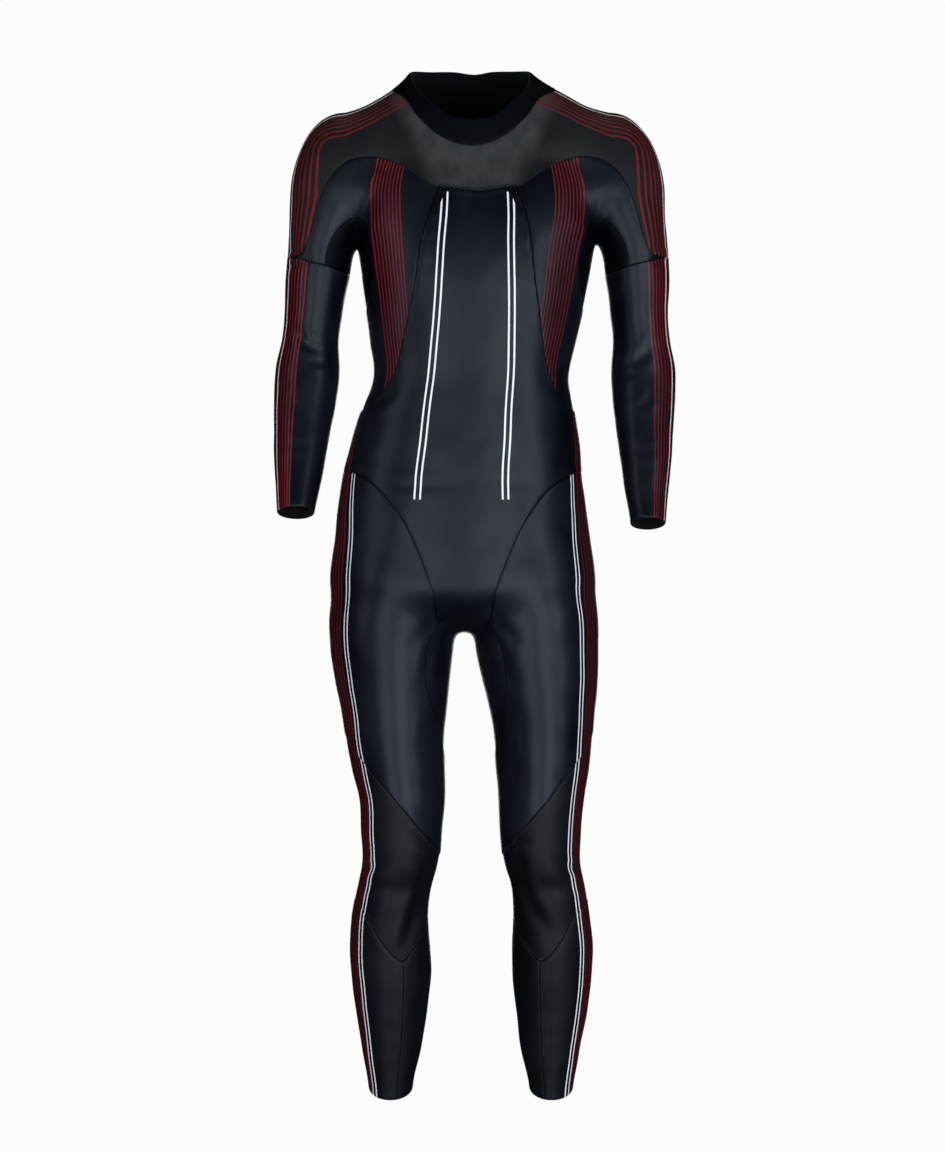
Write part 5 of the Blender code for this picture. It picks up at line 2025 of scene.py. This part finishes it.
def add_skin(bm: BMesh, rings: Sequence[Sequence], ends: bool = True) -> None:
    """Adds the faces from each ring of verts to the next.

    Args:
        bm: The mesh.
        rings: The rings, all of one count.
        ends: Whether the ends are closed, or else the last ring joins the first.
    """
    count = len(rings[0])
    following = rings[1:] if ends else rings[1:] + rings[:1]
    for ring_a, ring_b in zip(rings, following):
        for i in range(count):
            j = (i + 1) % count
            bm.faces.new((ring_a[i], ring_a[j], ring_b[j], ring_b[i]))
    if ends:
        bm.faces.new(list(reversed(rings[0])))
        bm.faces.new(rings[-1])


def add_bead(
    bm: BMesh, middle: Vector, long: Vector, wide: Vector, tall: Vector, around: int = 6
) -> None:
    """Adds a rounded bar, such as a zip tooth or a stitch.

    Args:
        bm: The mesh.
        middle: The bar's middle.
        long: From there to its end.
        wide: From there to its side.
        tall: From there to its top.
        around: How many sides it has.
    """
    rings = []
    for share, size in BEAD_PROFILE:
        ring = []
        for angle in turns(around):
            off = wide * (math.cos(angle) * size) + tall * (math.sin(angle) * size)
            ring.append(bm.verts.new(middle + long * share + off))
        rings.append(ring)
    add_skin(bm, rings)


@dataclass
class Zip:
    """The back zip: coil, sewing of its tape, slider and pull."""

    tooth_pitch: float = 0.00150
    tooth_half_length: float = 0.0025
    tooth_half_width: float = 0.00052
    tooth_half_height: float = 0.00080
    tooth_shift: float = 0.0006
    tooth_lean: float = 0.00025
    stitch_pitch: float = 0.0032
    stitch_share: float = 0.36
    stitch_rows: tuple[float, ...] = (-0.0112, -0.0052, 0.0052, 0.0112)
    stitches_above_chain: float = 0.030
    stitches_below_chain: float = 0.003
    thread_radius: float = 0.00022
    laid_on: float = 0.0003
    slider_above_chain: float = 0.0012
    slider_size: Triple = (0.0100, 0.0150, 0.0040)
    plate_share: float = 0.30
    wedge_shares: Triple = (0.55, 0.8, 0.9)
    barrel_radius: float = 0.0024
    barrel_width: float = 0.0054
    barrel_lift: float = 0.0005
    barrel_sides: int = 24
    edge: float = 0.0003
    pin_radius: float = 0.0011
    pin_end: float = 0.0008
    pin_sides: int = 14
    running_gap: float = 0.0003
    cheek_width: float = 0.0014
    pull_width: float = 0.0054
    pull_length: float = 0.0280
    pull_thickness: float = 0.0016
    pull_lean: float = math.radians(5)
    grip_ribs: int = 5
    grip_from: float = 0.60
    grip_pitch: float = 0.0019
    grip_half_width: float = 0.55
    grip_sides: int = 8

    def coil(self) -> Object:
        """The closed coil of interlocking teeth.

        Returns:
            The piece.
        """
        bm = bmesh.new()
        lift = TAPE_THICKNESS + self.laid_on + self.tooth_half_height
        places, outs = FIGURE.centre_back(np.arange(
            CHAIN_TOP_Z - self.tooth_pitch, CHAIN_LOWEST_Z + self.tooth_pitch, -self.tooth_pitch
        ))
        for k, (place, out) in enumerate(zip(places, outs)):
            out, way = Vector(out), 1 if k % 2 else -1
            down = out.cross(ACROSS)
            add_bead(
                bm, Vector(place) + out * lift + ACROSS * (way * self.tooth_shift),
                ACROSS * self.tooth_half_length + down * (way * self.tooth_lean),
                down * self.tooth_half_width, out * self.tooth_half_height,
            )
        made = link_mesh("zip_coil", bm, Nylon().material())
        return declare(made, SUIT_BODY, "zip_teeth", "zip_chain")

    def sewing(self) -> Object:
        """The rows of stitches that hold the tape and its coil.

        Returns:
            The piece.
        """
        bm = bmesh.new()
        places, _ = FIGURE.centre_back(np.arange(
            CHAIN_TOP_Z + self.stitches_above_chain, CHAIN_LOWEST_Z - self.stitches_below_chain,
            -self.stitch_pitch,
        ))
        lift = TAPE_THICKNESS
        for row in self.stitch_rows:
            laid = FIGURE.lay(places + (row, 0, 0), FINE_LAYING_STEPS)
            for place, out in zip(laid, FIGURE.normals(laid)):
                out = Vector(out)
                down = out.cross(ACROSS).normalized()
                add_bead(
                    bm, Vector(place) + out * lift,
                    down * (self.stitch_pitch * self.stitch_share),
                    out.cross(down) * self.thread_radius, out * self.thread_radius,
                    THREAD_SIDES,
                )
        made = link_mesh("zip_sewing", bm, TAPE_THREAD.material())
        return declare(made, SUIT_BODY, "zip_tape")

    def hinge(self) -> Matrix:
        """The hinge's own axes: X across, Y down the back, Z out from it.

        Returns:
            The matrix that takes them to the suit's.
        """
        middle_z = CHAIN_TOP_Z + self.slider_above_chain + self.slider_size[1] / 2
        places, outs = FIGURE.centre_back(np.array([middle_z]))
        out = Vector(outs[0])
        down = out.cross(ACROSS)
        axes = Matrix((ACROSS, down, out)).transposed().to_4x4()
        return Matrix.Translation(Vector(places[0]) + out * self.pin_lift()) @ axes

    def pin_lift(self) -> float:
        """How far the hinge's pin is off the back's surface."""
        seat = TAPE_THICKNESS + self.laid_on
        return seat + self.slider_size[2] + self.barrel_lift + self.barrel_radius

    @staticmethod
    def outline(table: Table, corner: int = 10) -> list[Pair]:
        """A closed outline, mirrored from its right half and rounded by a smooth curve.

        Args:
            table: Rows of y and half width down the piece.
            corner: Half of how many points each side has.

        Returns:
            The outline's points.
        """
        knots = np.arange(len(table), dtype=float)
        rows = spline(knots, np.array(table), np.linspace(0, len(table) - 1, corner * 2))
        right = [(half, y) for y, half in rows]
        return right + [(-half, y) for half, y in reversed(right) if half > LEAST_HALF_WIDTH]

    @staticmethod
    def slab(bm: BMesh, outline: list[Pair], layers: Sequence[Pair]) -> None:
        """Adds a slab with rounded edges over an outline.

        Args:
            bm: The mesh.
            outline: The outline's points.
            layers: Rows of height and how far the outline is drawn in there.
        """
        middle_y = sum(y for _, y in outline) / len(outline)
        rings = []
        for z, inset in layers:
            ring = []
            for x, y in outline:
                off = Vector((x, y - middle_y))
                off -= off.normalized() * min(inset, off.length * MOST_INSET_SHARE)
                ring.append(bm.verts.new((off.x, off.y + middle_y, z)))
            rings.append(ring)
        add_skin(bm, rings)

    def slider(self, metal: Material) -> Object:
        """The slider: two waisted plates on a wedge, and the lugs that hold the pin.

        Args:
            metal: Its material.

        Returns:
            The piece.
        """
        bm = bmesh.new()
        width, length, height = self.slider_size
        half, end = width / 2, length / 2
        plan = self.outline([(y * end, x * half) for y, x in SLIDER_PLAN])
        base = TAPE_THICKNESS + self.laid_on - self.pin_lift()
        plate = height * self.plate_share
        for low, high in ((base, base + plate), (base + height - plate, base + height)):
            self.slab(bm, plan, [
                ((low, high)[upper] + z, inset) for upper, z, inset in SLIDER_LAYERS
            ])
        narrow, short, sunk = self.wedge_shares
        wedge = [(x * narrow, y * short) for x, y in plan]
        self.slab(bm, wedge, ((base + plate * sunk, 0.0), (base + height - plate * sunk, 0.0)))
        cheek_x = self.barrel_width / 2 + self.running_gap + self.cheek_width / 2
        for side in (-1, 1):
            start = len(bm.verts)
            self.slab(bm, self.outline(LUG_PLAN, 8), LUG_LAYERS)
            bm.verts.ensure_lookup_table()
            for vert in bm.verts[start:]:
                x, y, z = vert.co
                vert.co = (side * cheek_x + z, x, -y)
        add_bead(
            bm, Vector(), ACROSS * (cheek_x + self.pin_end), Vector((0, self.pin_radius, 0)),
            Vector((0, 0, self.pin_radius)), self.pin_sides,
        )
        bmesh.ops.recalc_face_normals(bm, faces=bm.faces)
        made = link_mesh("zip_slider_body", bm, metal)
        made.data.transform(self.hinge())
        return declare(made, SUIT_BODY, "zip_metal", "zip_slider")

    def pull(self, metal: Material) -> Object:
        """The pull tab: a barrel on the pin, a waisted plate and a ribbed grip at its end.

        Args:
            metal: Its material.

        Returns:
            The piece.
        """
        bm = bmesh.new()
        half, end = self.pull_width / 2, self.pull_length
        top = [(y, x * half) for y, x in PULL_TOP_PLAN]
        plan = self.outline(top + [(y * end, x * half) for y, x in PULL_PLAN], 16)
        thick = self.pull_thickness / 2
        self.slab(bm, plan, [(s * thick + z, inset) for s, z, inset in PULL_LAYERS])
        for k in range(self.grip_ribs):
            y = end * self.grip_from + k * self.grip_pitch
            add_bead(
                bm, Vector((0, y, thick)), ACROSS * half * self.grip_half_width,
                *GRIP_RIB, self.grip_sides,
            )
        self.barrel(bm)
        bmesh.ops.recalc_face_normals(bm, faces=bm.faces)
        made = link_mesh("zip_pull_tab", bm, metal)
        made.data.transform(self.hinge() @ Matrix.Rotation(-self.pull_lean, 4, "X"))
        return declare(made, PULL_BODY, "zip_metal", "zip_pull")

    def barrel(self, bm: BMesh) -> None:
        """Adds the hollow barrel that turns on the pin.

        Args:
            bm: The pull's mesh.
        """
        half, radius, edge = self.barrel_width / 2, self.barrel_radius, self.edge
        bore = self.pin_radius + self.running_gap
        profile = (
            (-half, bore), (-half, radius - edge), (-half + edge, radius),
            (half - edge, radius), (half, radius - edge), (half, bore),
        )
        rings = [
            [
                bm.verts.new((x, size * math.cos(angle), size * math.sin(angle)))
                for angle in turns(self.barrel_sides)
            ]
            for x, size in profile
        ]
        add_skin(bm, rings, ends=False)

    def build(self) -> list[Object]:
        """Builds the whole zip but for its tape."""
        metal = Metal().material()
        return [self.coil(), self.sewing(), self.slider(metal), self.pull(metal)]


LEAST_HALF_WIDTH = 1e-5
MOST_INSET_SHARE = 0.9
SLIDER_PLAN = (
    # y and half width, as shares of the slider's half length and half width
    (-1.0, 0.0), (-0.97, 0.62), (-0.72, 1.0), (0.0, 0.86), (0.62, 0.80), (0.95, 0.55), (1.0, 0.0),
)
SLIDER_LAYERS = (
    # whether from the plate's top, height from there, how far the outline is drawn in
    (False, 0.0, 0.0006), (False, 0.0003, 0.0), (True, -0.0004, 0.0), (True, 0.0, 0.0007),
)
LUG_PLAN = (
    # y, half width
    (-0.0024, 0.0), (-0.0021, 0.0013), (0.0, 0.0023), (0.0030, 0.0023), (0.0036, 0.0),
)
LUG_LAYERS = (
    # height, how far the outline is drawn in
    (-0.0007, 0.0002), (-0.0005, 0.0), (0.0005, 0.0), (0.0007, 0.0002),
)
PULL_TOP_PLAN = (
    # y, half width as a share of the pull's
    (0.0012, 0.0), (0.0016, 0.78),
)
PULL_PLAN = (
    # y as a share of the pull's length, half width as before
    (0.25, 0.70), (0.55, 0.84), (0.86, 1.0), (0.985, 0.62), (1.0, 0.0),
)
PULL_LAYERS = (
    # side of the plate, height from there, how far the outline is drawn in
    (-1, 0.0, 0.0005), (-1, 0.0003, 0.0), (1, -0.0003, 0.0), (1, 0.0, 0.0005),
)
GRIP_RIB = (Vector((0, 0.0005, 0)), Vector((0, 0, 0.0003)))

# --- Suit and studio ---

SEWN = {
    # kind of panel: the lowest z of its rows, and whether they run every way or only across
    "front_body": (-0.38, True),
    "sleeve_front": (-0.235, False),
    "knee": (-1.30, True),
    "shin_outer": (-1.30, True),
}


@dataclass
class Sewing:
    """Rows of short stitches just inside the seams of chest, sleeve tops, knees and shins."""

    pitch: float = 0.0038
    half_length: float = 0.0010
    radius: float = 0.00026
    inside: float = 0.0032

    def row_edges(self, panel: Panel) -> list[tuple[Vector, Vector, Vector]]:
        """The rim edges that a row follows.

        Args:
            panel: The panel.

        Returns:
            Each edge's ends and its face's middle.
        """
        lowest, any_way = SEWN[panel.kind]
        rows, own = [], set(panel.faces)
        for face in panel.faces:
            for edge in face.edges:
                a, b = (v.co for v in edge.verts)
                rim = sum(f in own for f in edge.link_faces) == 1
                across = abs(a.z - b.z) < abs(a.x - b.x)
                if rim and min(a.z, b.z) > lowest and (any_way or across):
                    rows.append((a.copy(), b.copy(), face.calc_center_median()))
        return rows

    def build(self, panels: Sequence[Panel]) -> Object:
        """Lays the stitches.

        Args:
            panels: The panels.

        Returns:
            The piece.
        """
        bm = bmesh.new()
        for panel in (p for p in panels if p.kind in SEWN):
            starts, ways = [], []
            for a, b, middle in self.row_edges(panel):
                count = max(1, round((b - a).length / self.pitch))
                for k in range(count):
                    place = a.lerp(b, (k + 0.5) / count)
                    along = (b - a).normalized()
                    inward = (middle - place) - along * (middle - place).dot(along)
                    starts.append(place + inward.normalized() * self.inside)
                    ways.append(along)
            laid = FIGURE.lay(np.array(starts), FINE_LAYING_STEPS)
            normals = FIGURE.normals(laid)
            lift = rumple(laid, normals) + panel.thickness
            if panel.kind == "front_body":
                lift += WELT_HEIGHT * welt(laid, np.full(len(laid), self.inside))
            for place, out, way, height in zip(laid, normals, ways, lift):
                out = Vector(out)
                along = (way - out * way.dot(out)).normalized()
                add_bead(
                    bm, Vector(place) + out * height, along * self.half_length,
                    out.cross(along) * self.radius, out * self.radius, THREAD_SIDES,
                )
        made = link_mesh("seam_sewing", bm, SEAM_THREAD.material())
        return declare(made, SUIT_BODY, "glossy_rubber")


@dataclass
class Suit:
    """All the panels, their sewing and the zip."""

    levels: int = 3

    def build(self) -> None:
        """Cuts the shell, raises the panels and adds the zip."""
        pattern = Pattern(Cage().smoothed(self.levels))
        SeamPlan(pattern).follow()
        inside = Knit().material()
        skins = {finish: finish.material() for finish in (GLOSSY, MATTE, CALM, SMOOTH, TAPE)}
        faces = {name: pattern.faces_of(name) for name in pattern.names}
        panels = [Panel(name, own) for name, own in faces.items() if own]
        pieces = [panel.build(skins[KINDS[panel.kind].finish], inside) for panel in panels]
        pieces.append(Sewing().build(panels))
        pieces += Zip().build()
        for piece in pieces:
            logger.info("%s: %d faces", piece.name, len(piece.data.polygons))


@dataclass(frozen=True)
class Softbox:
    """A large soft studio light aimed at the suit."""

    name: str
    place: Triple
    width: float
    height: float
    power: float
    aim: Triple = (0.0, 0.0, -0.62)
    colour: Colour = (0.88, 0.93, 1.0)

    def build(self) -> None:
        """Adds the light."""
        light = bpy.data.lights.new(self.name, "AREA")
        light.shape = "RECTANGLE"
        light.size, light.size_y, light.energy = self.width, self.height, self.power
        light.color = self.colour
        holder = add_object(self.name, light)
        holder.location = self.place
        way = Vector(self.aim) - Vector(self.place)
        holder.rotation_euler = way.to_track_quat("-Z", "Y").to_euler()
        holder.visible_camera = False


PHOTO_ROWS, PIXEL_SIZE = 1152, 0.00139
WHITE, BLACK = (1.0, 1.0, 1.0, 1.0), (0.0, 0.0, 0.0, 1.0)
FLOOR_SIDES = 64


@dataclass(frozen=True)
class Studio:
    """The camera, a pale floor and backdrop, and soft lights."""

    distance: float = 4.5
    aim_z: float = -0.634
    span: float = PHOTO_ROWS * PIXEL_SIZE
    floor_z: float = -1.75
    floor_radius: float = 12.0
    backdrop: float = 0.97
    room: float = 0.018
    lights: tuple[Softbox, ...] = (
        Softbox("front_right", (-1.35, -4.2, -1.5), 2.1, 3.3, 96.0, (0.0, 0.0, -0.8)),
        Softbox("front_left", (1.35, -4.2, -1.5), 2.1, 3.3, 120.0, (0.0, 0.0, -0.8)),
        Softbox("side_right", (-2.9, -1.9, 0.0), 1.1, 2.4, 22.0),
        Softbox("side_left", (3.0, -3.0, -0.3), 1.3, 2.6, 62.0),
        Softbox("back", (0.0, 4.6, -0.3), 2.6, 3.0, 110.0),
        Softbox("top", (0.0, 0.2, 2.6), 1.6, 1.6, 14.0),
    )

    def build(self) -> None:
        """Adds the camera, the surroundings and the lights."""
        lens = bpy.data.cameras.new("camera")
        lens.sensor_fit = "VERTICAL"
        lens.angle = 2 * math.atan(self.span / 2 / self.distance)
        camera = add_object("camera", lens)
        camera.location = (0.0, -self.distance, self.aim_z)
        camera.rotation_euler = (math.radians(90), 0.0, 0.0)
        bpy.context.scene.camera = camera
        bpy.context.scene.view_settings.view_transform = "Standard"
        self.surround()
        self.floor()
        for light in self.lights:
            light.build()

    def surround(self) -> None:
        """A pale backdrop for the eye, and a dimmer room for the light."""
        world = bpy.data.worlds.new("studio")
        bpy.context.scene.world = world
        world.use_nodes = True
        nodes, links = world.node_tree.nodes, world.node_tree.links
        room, seen = nodes["Background"], nodes.new("ShaderNodeBackground")
        for background, strength in ((room, self.room), (seen, self.backdrop)):
            background.inputs["Color"].default_value = WHITE
            background.inputs["Strength"].default_value = strength
        chooser = nodes.new("ShaderNodeMixShader")
        rays = nodes.new("ShaderNodeLightPath")
        links.new(rays.outputs["Is Camera Ray"], chooser.inputs[0])
        links.new(room.outputs[0], chooser.inputs[1])
        links.new(seen.outputs[0], chooser.inputs[2])
        links.new(chooser.outputs[0], nodes["World Output"].inputs["Surface"])

    def floor(self) -> None:
        """A plain pale floor well below the hems, as bright as the backdrop behind it."""
        bm = bmesh.new()
        bmesh.ops.create_circle(bm, cap_ends=True, segments=FLOOR_SIDES, radius=self.floor_radius)
        material = bpy.data.materials.new("pale_floor")
        material.use_nodes = True
        shader = material.node_tree.nodes["Principled BSDF"]
        shader.inputs["Base Color"].default_value = BLACK
        shader.inputs["Specular IOR Level"].default_value = 0.0
        shader.inputs["Emission Color"].default_value = WHITE
        shader.inputs["Emission Strength"].default_value = self.backdrop
        floor = link_mesh("floor", bm, material)
        floor.location.z = self.floor_z
        floor.visible_glossy = floor.visible_diffuse = floor.visible_shadow = False


def main() -> None:
    """Builds the suit and the studio."""
    logging.basicConfig(level=logging.INFO, format="%(name)s: %(message)s")
    Suit().build()
    Studio().build()


if __name__ == "__main__":
    main()
